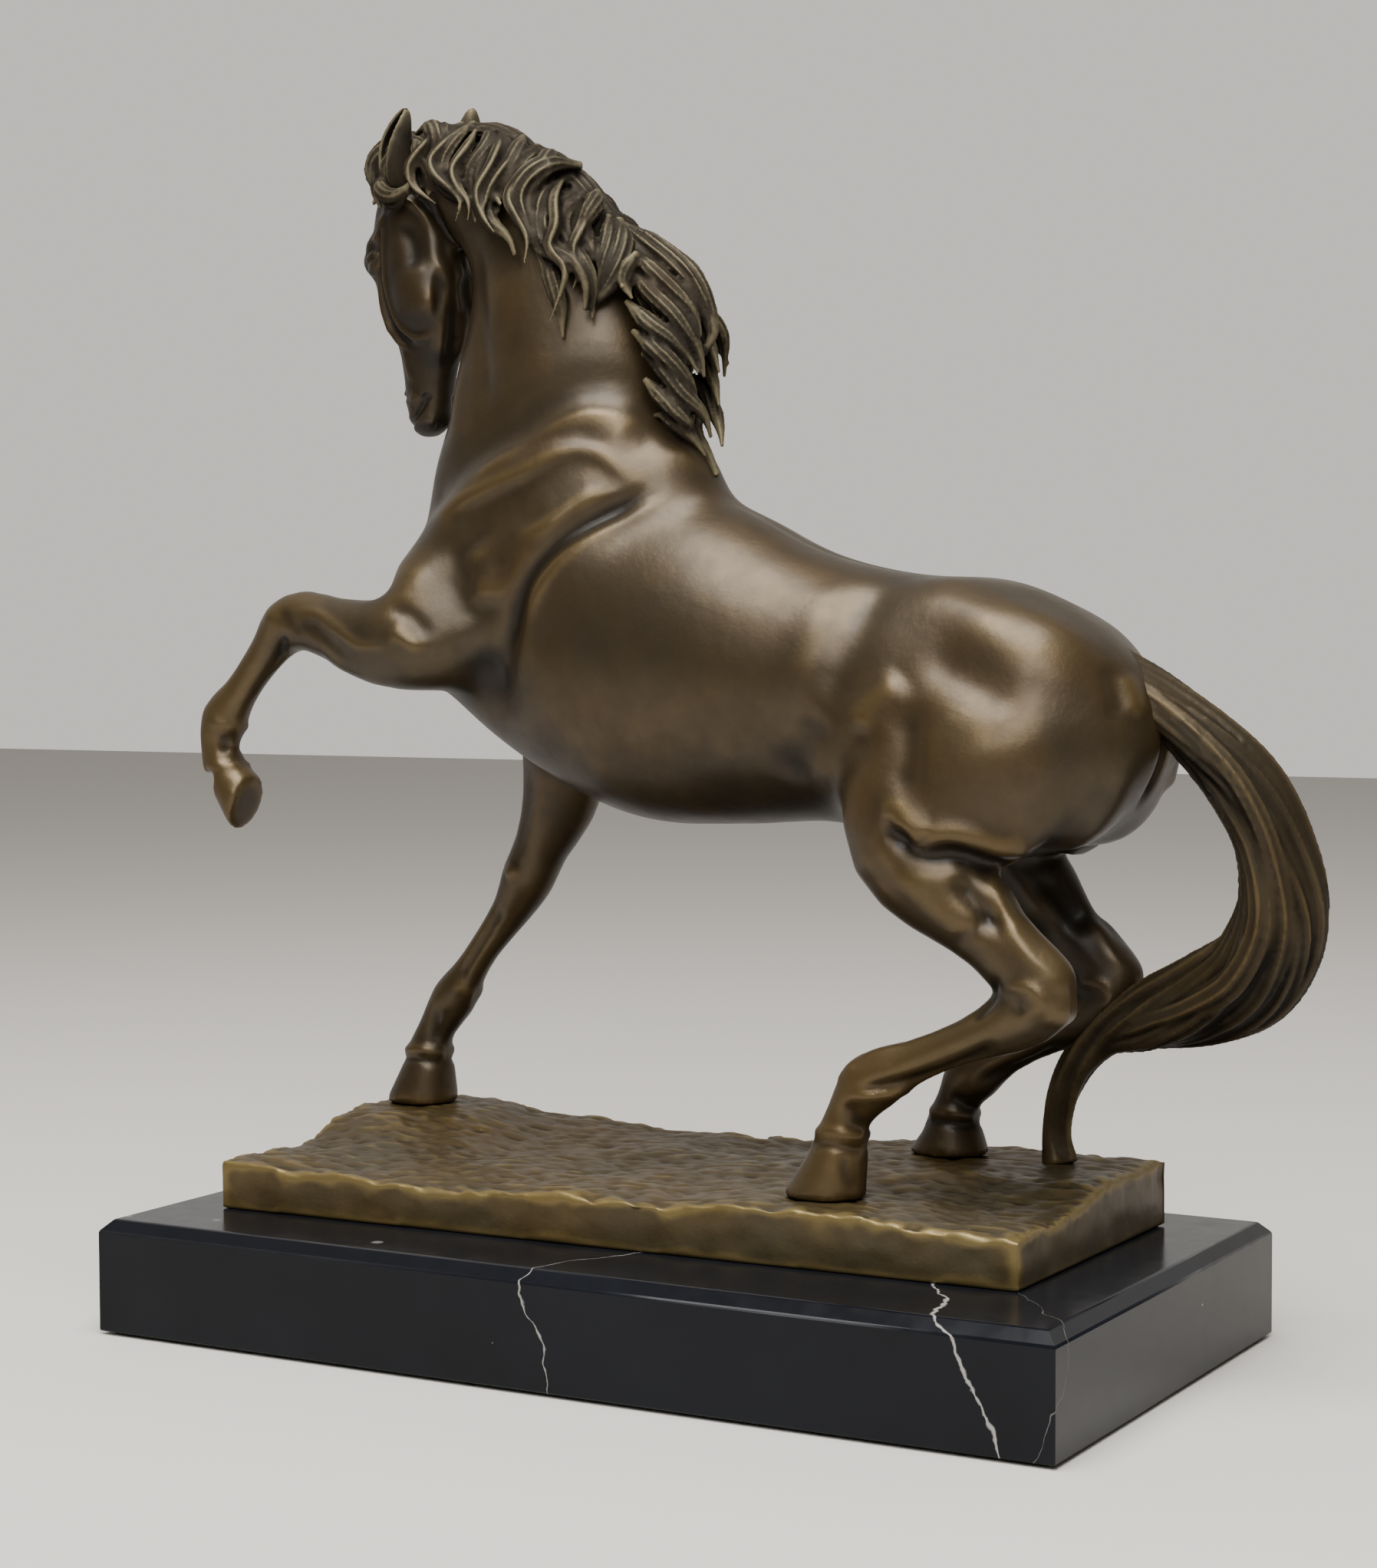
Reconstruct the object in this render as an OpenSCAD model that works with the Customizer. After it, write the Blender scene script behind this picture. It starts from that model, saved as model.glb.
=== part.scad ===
// Prancing horse statuette in bronze on a black marble base.
// The horse faces -X, stands on a cast bronze plinth, and everything rests on z = 0.

/* [Figure] */
// Height of the withers above the plinth's top; the whole horse scales with it
withers_h = 183; // [140:1:230]
// Wall of the hollow castings (trunk, hindquarters and neck)
cast_wall = 4; // [3:0.5:7]
// Diameter of the bronze pins that hold the planted feet in the plinth
pin_d = 4; // [2:0.5:5]
// Depth that each pin reaches into the foot and into the plinth
pin_depth = 6; // [3:0.5:7]

/* [Plinth] */
// Nominal thickness of the bronze plinth
plinth_t = 14.4; // [12:0.2:22]
// How far the plinth runs on in front of the planted forefoot
plinth_front = 2.5; // [1:0.5:20]
// How far the plinth runs on behind the tail's foot
plinth_rear = 21; // [8:0.5:40]
// How far the plinth runs on past the near hind foot
plinth_near = 11.5; // [5:0.5:30]
// How far the plinth runs on past the far hind foot
plinth_far = 7; // [5:0.5:30]
// Wall of the plinth's casting, which is open below
plinth_wall = 3; // [2.5:0.5:6]
// Width of the bosses that the studs screw into
boss_d = 16; // [12:0.5:22]

/* [Marble base] */
// Height of the marble block
base_h = 30.6; // [20:0.5:50]
// Marble ledge in front of the plinth
ledge_front = 19; // [6:0.5:50]
// Marble ledge behind the plinth
ledge_rear = 24; // [6:0.5:50]
// Marble ledge along the horse's near side
ledge_near = 31.5; // [6:0.5:50]
// Marble ledge along the horse's far side
ledge_far = 23; // [6:0.5:50]
// Chamfer along the marble's upper edges
base_chamfer = 3.2; // [0.5:0.1:6]
// Thickness of the felt glued under the marble
felt_t = 1; // [0.5:0.1:3]
// How far the felt stops short of the marble's edges
felt_inset = 3; // [1:0.5:10]

/* [Fixings] */
// Diameter of the two studs that hold the plinth down
stud_d = 6; // [4:0.5:8]
// Distance between the two studs
stud_span = 150; // [100:5:170]
// Depth that a stud screws into its boss
stud_grip = 8; // [5:0.5:9]
// Clearance of the stud's hole in the marble, on the diameter
stud_gap = 1; // [0.5:0.1:2]
// Depth of the pocket for the washer and nut, from the marble's underside
pocket_h = 12; // [10:0.5:16]
// Thickness of the washers
washer_t = 1.6; // [1:0.1:3]
// Height of the nuts
nut_h = 5; // [3:0.5:7]

/* [Hidden] */

bronze = [0.42, 0.33, 0.2];
dark_bronze = [0.28, 0.24, 0.18];
marble = [0.12, 0.13, 0.15];
steel = [0.7, 0.7, 0.72];
baize = [0.1, 0.25, 0.16];

touch = 0.01;              // a cut runs this far past the face it opens
pin_gap = 0.1;             // clearance around a pin, on the diameter
fig = withers_h / 183;     // the sections below are drawn for withers at 183
top_z = felt_t + base_h + plinth_t;   // the plinth's nominal top

// ---- sections: [x, y, z, half depth, half width], z from the plinth's top ----

// Barrel, from the buttocks to the breast
trunk_rows = [
    [136, 6, 119, 6, 8], [130, 6, 119, 17, 17], [119, 6, 119, 26, 24],
    [103, 6, 120, 34, 29], [85, 6, 122, 37.5, 31], [67, 6, 125, 35, 31],
    [48, 6, 128.5, 34.5, 30.5], [27, 6, 131, 39, 32], [6, 6, 135.5, 44.5, 32.5],
    [-13, 6, 138.5, 44.5, 32], [-31, 6, 142, 40, 30], [-50, 6, 147, 34, 28],
    [-67, 6, 152, 26, 25], [-79, 6, 155, 17, 19], [-85, 6, 156, 6, 8]
];

// Neck, from inside the trunk to the poll
neck_rows = [
    [-28, 6, 160, 44, 26], [-38.5, 6, 181, 46, 25], [-40, 6, 197, 38.5, 22],
    [-40, 6, 211, 33.5, 20], [-41.5, 6, 225, 30, 18], [-45, 6, 238, 25.5, 16.5],
    [-51, 7, 250, 21, 14.5], [-60, 8, 260, 16.5, 13], [-70, 9, 268, 13, 11],
    [-81, 10, 273, 10.5, 9.5]
];

// Head, from the poll to the muzzle; x runs to the rear of the turned head
head_rows = [
    [2, 0, 281, 6, 6], [-1, 0, 276, 11, 9], [-5, 0, 267, 14.5, 11.5],
    [-7, 0, 256, 17, 12], [-6, 0, 246, 17.5, 11.5], [-3.5, 0, 236, 16, 10.5],
    [-1.5, 0, 227, 12.5, 8.5], [-1.5, 0, 217, 9, 7], [-2, 0, 209, 8, 6.4],
    [-1.5, 0, 203, 6.5, 5.5], [-1, 0, 200, 3, 3]
];
poll = [-86, 10, 0];       // where the head turns
head_turn = 25;            // turned to the horse's right

left_fore_rows = [
    [-62, -14, 150, 24, 12], [-67, -20, 144, 18, 12], [-74, -24, 141, 14, 11.5],
    [-85, -25, 143, 11.5, 9.5], [-96, -24, 145.5, 9, 8], [-107, -23, 148, 8.5, 7.5],
    [-114, -22.5, 146, 8, 7.2], [-119, -22, 141, 6.2, 6], [-125, -22, 134.5, 5.2, 5],
    [-131, -22, 127.5, 5.2, 5], [-136.5, -22, 120.5, 7, 6.5], [-138, -22, 112, 5.8, 5.8],
    [-136.5, -22, 106, 6.3, 6.5]
];
right_fore_rows = [
    [-49, 18, 140, 17, 12], [-50, 22, 122, 15, 12], [-52, 25, 108, 13.5, 10.5],
    [-56.5, 28, 95, 11.5, 9], [-63.5, 30, 83, 8.5, 7.5], [-69, 31, 73, 8, 7.5],
    [-75, 32, 64, 6, 5.8], [-84, 32, 53, 4.8, 4.6], [-90.5, 32.5, 44.5, 5.3, 5],
    [-96, 33, 37, 7, 6.5], [-102, 33, 28, 5.6, 5.6], [-105, 33, 20, 7, 7],
    [-105.5, 33, 16, 7.4, 7.2]
];
left_hind_rows = [
    [98, -10, 128, 30, 16], [92, -15, 114, 31, 16], [86, -19, 103, 27, 14.5],
    [81, -21, 94, 22, 13], [84, -22, 85, 16, 11.5], [93, -22, 77, 12.5, 9.5],
    [102, -22, 68.5, 9.5, 7.5], [111, -22, 60, 10, 7.5], [114, -22, 55, 10, 7.5],
    [105, -22, 48, 8, 6.5], [94, -22, 43, 5.6, 5.5], [80, -22, 37, 5.6, 5.5],
    [68, -22, 31, 8, 7], [61.5, -22, 22.5, 6, 6], [59, -22, 14, 7.4, 7.2],
    [58, -22, 10, 7.8, 7.6]
];
right_hind_rows = [
    [98, 24, 128, 30, 16], [92, 28, 114, 31, 16], [85, 31, 103, 27, 14.5],
    [79, 33, 92, 22, 13], [81, 34, 82, 16, 11.5], [90, 35, 73, 12.5, 9.5],
    [98, 35, 64, 9.5, 7.5], [107, 35, 55, 10, 7.5], [109, 35, 50, 10, 7.5],
    [101, 35, 43, 8, 6.5], [92, 35, 38, 5.6, 5.5], [80, 35, 32, 5.6, 5.5],
    [70.5, 35, 26, 8, 7], [66, 35, 19, 6, 6], [64.5, 35, 13, 7.4, 7.2],
    [64, 35, 10, 7.8, 7.6]
];
tail_rows = [
    [112, 6, 142, 4, 5], [122, 6, 133.5, 6, 6.5], [133, 7, 125.5, 7, 7.5],
    [144.5, 8, 116.5, 8, 8.5], [154, 10.5, 106, 9, 9], [160, 14, 91, 9.5, 9.5],
    [160.5, 18, 73, 12, 10.5], [152, 22, 58, 12.5, 11], [139, 25, 50.5, 12, 10],
    [124, 29, 45, 10.5, 8.5], [111, 32, 41, 7, 6]
];
strand_rows = [
    [116, 31, 42, 7, 6], [107, 33, 36, 5.5, 5], [99, 34, 29, 5, 4.5],
    [94.5, 35, 20, 4.6, 4.4], [94, 36, 11, 4.4, 4.4]
];

// Feet: [x, y, z of the sole, x of the coronet, z of the coronet]
right_fore_foot = [-107.5, 33, 5.3, -105, 18];
left_hind_foot = [54.5, -22, 0.4, 58.5, 13];
right_hind_foot = [63, 35, 3.5, 64.5, 11.5];
strand_foot = [95, 36, 3.5, 94, 11];
feet = [right_fore_foot, left_hind_foot, right_hind_foot];
sole_r = 11;               // half length of a sole
sole_w = 10;               // half width of a sole
coronet_r = 7.4;
slab_t = 1;                // thickness of the discs that a hoof is hulled from
raised_coronet = [-135.5, -22, 104];
raised_tilt = -70;         // the raised hoof hangs with its sole to the rear
raised_drop = [-5, 0, -9]; // from the raised coronet to its sole
raised_r = [6.4, 6.4];
raised_sole = [8.4, 7.6];

// ---- drawing tools ----

function unit(v) = v / norm(v);
function at(row) = [row[0], row[1], row[2]];
function spline(a, b, c, d, t) =
    0.5 * (2 * b + (c - a) * t + (2 * a - 5 * b + 4 * c - d) * t * t
    + (3 * b - a - 3 * c + d) * t * t * t);
// Rows with n steps between each pair, on a smooth curve
function smooth(rows, n) =
    let (last = len(rows) - 1)
    [
        for (i = [0 : last - 1], j = [0 : n - 1])
            spline(rows[max(i - 1, 0)], rows[i], rows[i + 1], rows[min(i + 2, last)], j / n),
        rows[last]
    ];
function along(rows, i) =
    unit(at(rows[min(i + 1, len(rows) - 1)]) - at(rows[max(i - 1, 0)]));
// An elliptical ring of the body's skin, square to the line of the rows
function ring(rows, i, sides, grow) =
    let (
        way = along(rows, i),
        across = unit([0, 1, 0] - way * way[1]),
        up = cross(across, way)
    )
    [
        for (k = [0 : sides - 1])
            at(rows[i])
            + up * (rows[i][3] + grow) * cos(360 * k / sides)
            + across * (rows[i][4] + grow) * sin(360 * k / sides)
    ];
// A smooth skin over rows of sections, as a chain of convex stretches
module skin(rows, sides, steps = 2, grow = 0) {
    fine = smooth(rows, steps);
    for (i = [0 : len(fine) - 2])
        hull()
            polyhedron(
                points = concat(ring(fine, i, sides, grow), ring(fine, i + 1, sides, grow)),
                faces = [[for (k = [0 : 2 * sides - 1]) k]]
            );
}
// One lock of hair: a tapering strand from root by bend to tip
function bezier(a, b, c, t) = a * (1 - t) * (1 - t) + 2 * b * t * (1 - t) + c * t * t;
module lock(root, bend, tip, thick, steps = 5) {
    for (i = [0 : steps - 1])
        hull()
            for (t = [i, i + 1] / steps)
                translate(bezier(root, bend, tip, t))
                    sphere(r = thick * (1 - 0.75 * t * t), $fn = 10);
}
module ball(centre, radii) {
    translate(centre) scale(radii) sphere(r = 1, $fn = 24);
}
// The horse's own frame: its sections, scaled and set on the plinth
module figure() {
    translate([0, 0, top_z]) scale(fig) children();
}

// ---- the horse's solid forms, before they are parted into castings ----

// Half width of the figure's middle plane from y = 0
mid_y = 6;
// Muscles that stand out of the barrel, as [x, y from the middle, z] and radii
muscles = [
    [[-58, 14, 152], [26, 14, 27]], [[-69, 9, 148], [17, 13, 19]],
    [[-30, 18, 158], [27, 13, 26]], [[96, 13, 121], [34, 17, 32]],
    [[112, 12, 114], [21, 14, 26]], [[70, 17, 112], [19, 12, 24]]
];
module both_sides() {
    for (side = [-1, 1])
        translate([0, mid_y, 0]) mirror([0, side < 0 ? 1 : 0, 0]) children();
}
module trunk_form() {
    skin(trunk_rows, 24);
    both_sides() for (m = muscles) ball(m[0], m[1]);
}
// The hollow that the casting's core leaves in the barrel and the neck
function inner(rows, first, last) = [for (i = [first : last]) rows[i]];
module core() {
    skin(inner(trunk_rows, 2, 12), 14, grow = -cast_wall / fig);
    skin(inner(neck_rows, 0, 7), 14, grow = -cast_wall / fig);
}
module neck_form() {
    skin(neck_rows, 22);
}
module head_frame() {
    translate(poll) rotate([0, 0, -head_turn]) children();
}
module head_form() {
    head_frame() {
        skin(head_rows, 20);
        // brows and cheeks
        for (side = [-1, 1]) {
            ball([-15, side * 9, 250], [6.5, 4.2, 5.5]);
            ball([0, side * 5.5, 240], [11, 5.5, 14]);
        }
    }
}
module disc(radii) {
    scale([radii.x, radii.y, 1]) cylinder(r = 1, h = slab_t, $fn = 28);
}
// A foot: a hoof from the coronet down to a level sole
module foot(f) {
    hull() {
        translate([f[0], f[1], f[2]]) disc([sole_r, sole_w]);
        translate([f[3], f[1], f[4] - slab_t]) disc([coronet_r, coronet_r]);
    }
}
module pin_hole(f) {
    translate([f[0], f[1], f[2] - slab_t])
        cylinder(d = (pin_d + pin_gap) / fig, h = slab_t + pin_depth / fig, $fn = 32);
}

// ---- hair ----

// Locks of the mane: [root, bend, tip, thickness]
upper_locks = [
    [[-80, 12, 281], [-78, -2, 281], [-70, -4, 262], 3.6],
    [[-74, 10, 283], [-72, -6, 280], [-64, -7, 261], 4.2],
    [[-66, 9, 281], [-63, -8, 282], [-57, -10, 255], 4.4],
    [[-58, 8, 279], [-56, -9, 280], [-48, -12, 250], 4.4],
    [[-50, 8, 276], [-46, -10, 278], [-40, -12, 246], 4.6],
    [[-42, 7, 269], [-40, -10, 272], [-31, -13, 236], 4.8],
    [[-34, 7, 262], [-29, -10, 264], [-27, -14, 226], 4.6],
    [[-27, 7, 255], [-20, -8, 257], [-22, -13, 231], 4.6]
];
lower_locks = [
    [[-24, 7, 250], [-16, 7, 249], [-6, 8, 234], 4.6],
    [[-19, 6, 243], [-9, 4, 243], [3, 7, 220], 4.6],
    [[-14, 6, 235], [-5, 1, 236], [3, 5, 211], 4.8],
    [[-12, 6, 226], [-3, -2, 226], [2, 3, 203], 4.6],
    [[-9, 6, 216], [-1, -3, 217], [4, 1, 196], 4.4],
    [[-7, 6, 206], [0, -3, 207], [6, 2, 189], 4]
];
fore_locks = [
    [[-86, 9, 281], [-98, 9, 282], [-103, 10, 268], 3.6],
    [[-86, 13, 282], [-96, 18, 282], [-100, 19, 266], 3.4],
    [[-88, 6, 280], [-97, 2, 279], [-101, 4, 268], 3]
];
module locks(list) {
    for (l = list) lock(l[0], l[1], l[2], l[3]);
}
// An ear: a pointed shell, hollowed towards the front
module ear(base, lean, turn) {
    translate(base) rotate([0, 0, -head_turn + turn]) rotate(lean)
        difference() {
            hull() {
                scale([1, 1.25, 1]) sphere(r = 3.6, $fn = 16);
                translate([0, 0, 7]) scale([0.9, 1.25, 1.2]) sphere(r = 4.2, $fn = 16);
                translate([1, 0, 15]) sphere(r = 1, $fn = 12);
            }
            hull() {
                translate([-3.6, 0, 3]) scale([1, 1.1, 1]) sphere(r = 2, $fn = 12);
                translate([-3.6, 0, 8]) scale([1, 1.1, 1]) sphere(r = 2.6, $fn = 12);
                translate([-1.6, 0, 12.5]) sphere(r = 0.9, $fn = 12);
            }
        }
}
module left_ear_form() {
    ear([-93, 0, 274.5], [-4, 10, 0], -20);
}
module right_ear_form() {
    ear([-80, 19.5, 278], [4, 10, 0], 20);
}

// ---- castings of the horse ----

seam_x = 60;               // the weld between trunk and hindquarters
far = 400;                 // larger than the whole figure
module behind_seam() {
    translate([seam_x, -far / 2, -far / 2]) cube(far);
}
module ahead_of_seam() {
    translate([seam_x - far, -far / 2, -far / 2]) cube(far);
}
module trunk() {
    color(bronze) figure() difference() {
        trunk_form();
        core();
        behind_seam();
    }
}
module hindquarters() {
    color(bronze) figure() difference() {
        trunk_form();
        core();
        ahead_of_seam();
    }
}
module neck() {
    color(bronze) figure() difference() {
        neck_form();
        trunk_form();
        core();
    }
}
module head() {
    color(dark_bronze) figure() difference() {
        head_form();
        neck_form();
    }
}
module left_ear() {
    color(dark_bronze) figure() difference() {
        left_ear_form();
        head_form();
        neck_form();
    }
}
module right_ear() {
    color(dark_bronze) figure() difference() {
        right_ear_form();
        head_form();
        neck_form();
    }
}
module forelock() {
    color(dark_bronze) figure() difference() {
        locks(fore_locks);
        head_form();
        neck_form();
        left_ear_form();
        right_ear_form();
    }
}
module upper_mane() {
    color(dark_bronze) figure() difference() {
        locks(upper_locks);
        locks(fore_locks);
        head_form();
        neck_form();
        left_ear_form();
        right_ear_form();
    }
}
module lower_mane() {
    color(dark_bronze) figure() difference() {
        locks(lower_locks);
        locks(upper_locks);
        neck_form();
        trunk_form();
    }
}
module raised_hoof() {
    translate(raised_coronet) rotate([0, raised_tilt, 0])
        hull() {
            disc(raised_r);
            translate(raised_drop) disc(raised_sole);
        }
}
module left_foreleg() {
    color(bronze) figure() difference() {
        union() {
            skin(left_fore_rows, 14);
            raised_hoof();
        }
        trunk_form();
    }
}
module planted_leg(rows, f) {
    color(bronze) figure() difference() {
        union() {
            skin(rows, 14);
            foot(f);
        }
        trunk_form();
        pin_hole(f);
    }
}
module right_foreleg() {
    planted_leg(right_fore_rows, right_fore_foot);
}
module left_hind_leg() {
    planted_leg(left_hind_rows, left_hind_foot);
}
module right_hind_leg() {
    planted_leg(right_hind_rows, right_hind_foot);
}
module tail() {
    color(dark_bronze) figure() difference() {
        skin(tail_rows, 14);
        trunk_form();
        skin(right_hind_rows, 14);
    }
}
module tail_strand() {
    color(dark_bronze) figure() difference() {
        union() {
            skin(strand_rows, 12);
            translate([strand_foot[0], strand_foot[1], strand_foot[2]])
                cylinder(r1 = 5.5, r2 = 4.2, h = strand_foot[4] - strand_foot[2], $fn = 24);
        }
        skin(tail_rows, 14);
    }
}

// ---- plinth ----

plinth_z = felt_t + base_h;
plinth_x0 = fig * (right_fore_foot[0] - sole_r) - plinth_front;
plinth_x1 = fig * strand_foot[0] + plinth_rear;
plinth_y0 = fig * (left_hind_foot[1] - sole_w) - plinth_near;
plinth_y1 = fig * (right_hind_foot[1] + sole_w) + plinth_far;
skew = 3;                  // the casting's plan is a little out of square
// Corners of the plinth: near front, near rear, far rear, far front
corners = [
    [plinth_x0, plinth_y0 - skew], [plinth_x1, plinth_y0 + skew],
    [plinth_x1 + 1, plinth_y1 + skew], [plinth_x0 + 1, plinth_y1 - skew]
];
cells_x = 26;
cells_y = 11;
pad_r = 23;                // level ground around a foot
pad_fall = 22;             // width over which it runs out into the rough
pads = [right_fore_foot, left_hind_foot, right_hind_foot, strand_foot];
function mix(a, b, t) = a * (1 - t) + b * t;
function ease(t) = let (c = max(0, min(1, t))) c * c * (3 - 2 * c);
function rough(x, y) =
    -0.6 + 0.035 * y + 0.9 * sin(3.1 * x + 2 * y) * cos(4.3 * y) + 0.5 * sin(7 * x - 5 * y);
function settle(h, x, y, i) =
    i == len(pads) ? h :
    let (
        d = norm([x - fig * pads[i][0], y - fig * pads[i][1]]),
        near = ease((pad_r * fig + pad_fall - d) / pad_fall)
    )
    settle(mix(h, fig * pads[i][2], near), x, y, i + 1);
function ground(x, y) = top_z + settle(rough(x, y), x, y, 0);
function plan(u, v) =
    mix(mix(corners[0], corners[1], u), mix(corners[3], corners[2], u), v);
module plinth_block() {
    nx = cells_x + 1;
    top = [
        for (j = [0 : cells_y], i = [0 : cells_x])
            let (p = plan(i / cells_x, j / cells_y)) [p.x, p.y, ground(p.x, p.y)]
    ];
    rim = concat(
        [for (i = [0 : cells_x - 1]) i],
        [for (j = [0 : cells_y - 1]) j * nx + cells_x],
        [for (i = [cells_x : -1 : 1]) cells_y * nx + i],
        [for (j = [cells_y : -1 : 1]) j * nx]
    );
    foot_ring = [for (k = rim) [top[k].x, top[k].y, plinth_z]];
    n = len(rim);
    first = len(top);
    middle = first + n;
    polyhedron(
        points = concat(top, foot_ring, [[0, 0, plinth_z]]),
        faces = concat(
            [
                for (j = [0 : cells_y - 1], i = [0 : cells_x - 1], half = [0, 1])
                    let (a = j * nx + i)
                    half == 0 ? [a, a + nx, a + 1] : [a + 1, a + nx, a + nx + 1]
            ],
            [
                for (k = [0 : n - 1], half = [0, 1])
                    let (m = (k + 1) % n)
                    half == 0 ? [rim[k], rim[m], first + k] : [first + k, rim[m], first + m]
            ],
            [for (k = [0 : n - 1]) [first + k, first + (k + 1) % n, middle]]
        )
    );
}
stud_x = [-stud_span / 2, stud_span / 2];
stud_y = mid_y;
module at_studs() {
    for (x = stud_x) translate([x, stud_y, 0]) children();
}
lowest_rough = 3.5;        // how far the rough ground may dip below the nominal top
roof_z = top_z - lowest_rough - plinth_wall;
module plinth_hollow() {
    translate([0, 0, plinth_z - touch])
        linear_extrude(roof_z - plinth_z + touch)
            difference() {
                polygon([
                    corners[0] + plinth_wall * [1, 1], corners[1] + plinth_wall * [-1, 1],
                    corners[2] + plinth_wall * [-1, -1], corners[3] + plinth_wall * [1, -1]
                ]);
                for (x = stud_x) translate([x, stud_y]) circle(d = boss_d, $fn = 48);
            }
}
module plinth() {
    color(bronze) difference() {
        plinth_block();
        plinth_hollow();
        at_studs() translate([0, 0, plinth_z - touch])
            cylinder(d = stud_d, h = stud_grip + touch, $fn = 48);
        for (f = feet)
            translate([fig * f[0], fig * f[1], top_z + fig * f[2] - pin_depth])
                cylinder(d = pin_d + pin_gap, h = pin_depth + 1, $fn = 48);
    }
}
module foot_pins() {
    color(steel)
        for (f = feet)
            translate([fig * f[0], fig * f[1], top_z + fig * f[2] - pin_depth])
                cylinder(d = pin_d, h = 2 * pin_depth, $fn = 48);
}

// ---- marble base and fixings ----

base_x0 = plinth_x0 - ledge_front;
base_x1 = plinth_x1 + ledge_rear;
base_y0 = plinth_y0 - ledge_near;
base_y1 = plinth_y1 + ledge_far;
base_size = [base_x1 - base_x0, base_y1 - base_y0];
pocket_d = 20;             // room for a socket around the nut
pocket_top = felt_t + pocket_h;
washer_d = 16;
washer_play = 0.4;         // clearance of the washer on its stud
nut_corners = 1.92 * stud_d;
stud_end = 1;              // what shows of a stud below its nut
module marble_block() {
    inset = [base_chamfer, base_chamfer, 0];
    hull() {
        translate([base_x0, base_y0, felt_t])
            cube([base_size.x, base_size.y, base_h - base_chamfer]);
        translate([base_x0, base_y0, felt_t] + inset)
            cube([base_size.x - 2 * base_chamfer, base_size.y - 2 * base_chamfer, base_h]);
    }
}
module marble_base() {
    color(marble) difference() {
        marble_block();
        at_studs() {
            cylinder(d = stud_d + stud_gap, h = top_z, $fn = 48);
            cylinder(d = pocket_d, h = pocket_top, $fn = 64);
        }
    }
}
module base_felt() {
    color(baize)
        translate([base_x0 + felt_inset, base_y0 + felt_inset, 0])
            cube([base_size.x - 2 * felt_inset, base_size.y - 2 * felt_inset, felt_t]);
}
module fixing_washers() {
    color(steel) at_studs() translate([0, 0, pocket_top - washer_t])
        difference() {
            cylinder(d = washer_d, h = washer_t, $fn = 48);
            translate([0, 0, -1])
                cylinder(d = stud_d + washer_play, h = washer_t + 2, $fn = 48);
        }
}
nut_z = pocket_top - washer_t - nut_h;
module fixing_nuts() {
    color(steel) at_studs() translate([0, 0, nut_z])
        difference() {
            cylinder(d = nut_corners, h = nut_h, $fn = 6);
            translate([0, 0, -1]) cylinder(d = stud_d, h = nut_h + 2, $fn = 48);
        }
}
module fixing_studs() {
    color(steel) at_studs() translate([0, 0, nut_z - stud_end])
        cylinder(d = stud_d, h = plinth_z + stud_grip - nut_z + stud_end, $fn = 48);
}

base_felt();
marble_base();
fixing_nuts();
fixing_washers();
fixing_studs();
plinth();
foot_pins();
trunk();
hindquarters();
neck();
head();
left_ear();
right_ear();
forelock();
upper_mane();
lower_mane();
left_foreleg();
right_foreleg();
left_hind_leg();
right_hind_leg();
tail();
tail_strand();
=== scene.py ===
"""Looks of a prancing-horse statuette: patinated bronze on a polished black marble base.

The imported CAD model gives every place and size. The horse's castings are taken from it, fused
into one chased skin, modelled like clay with ridges and grooves, and dressed in brown patina.
"""

import logging
import math
from dataclasses import dataclass, field
from enum import Enum
from typing import Callable, Iterable, Sequence

import bmesh
import bpy
import numpy as np
from mathutils import Matrix, Vector, noise
from mathutils.bvhtree import BVHTree


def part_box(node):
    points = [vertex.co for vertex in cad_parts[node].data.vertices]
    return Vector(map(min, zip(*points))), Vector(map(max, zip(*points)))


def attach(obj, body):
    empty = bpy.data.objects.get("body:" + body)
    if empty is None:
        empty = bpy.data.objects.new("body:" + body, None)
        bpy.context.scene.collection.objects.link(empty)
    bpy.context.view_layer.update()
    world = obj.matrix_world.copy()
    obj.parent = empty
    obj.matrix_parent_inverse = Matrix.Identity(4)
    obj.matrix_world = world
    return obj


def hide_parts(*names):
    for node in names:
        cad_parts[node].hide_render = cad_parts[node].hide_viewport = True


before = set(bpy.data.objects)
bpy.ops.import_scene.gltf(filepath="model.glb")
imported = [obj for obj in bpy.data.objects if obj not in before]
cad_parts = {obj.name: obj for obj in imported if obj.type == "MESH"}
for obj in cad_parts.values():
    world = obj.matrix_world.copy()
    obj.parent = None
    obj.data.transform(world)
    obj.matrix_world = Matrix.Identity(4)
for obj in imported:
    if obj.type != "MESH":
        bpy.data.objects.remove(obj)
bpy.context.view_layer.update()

MM = 0.001
LOG = logging.getLogger("statuette")
ROOT = "root"

Point = tuple[float, float]


class Side(Enum):
    """Which flank of the horse a mark is made on."""

    NEAR = -1
    FAR = 1
    BOTH = 0


# ---------------------------------------------------------------- small tools

def linear(hex_colour: str) -> tuple[float, float, float, float]:
    """Turn an sRGB hex colour into the linear colour that shaders take.

    Args:
        hex_colour: six hex digits after a hash.

    Returns:
        Linear red, green, blue and an alpha of one.
    """
    parts = [int(hex_colour[i:i + 2], 16) / 255 for i in (1, 3, 5)]
    lit = [c / 12.92 if c <= 0.04045 else ((c + 0.055) / 1.055) ** 2.4 for c in parts]
    return (lit[0], lit[1], lit[2], 1.0)


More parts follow.
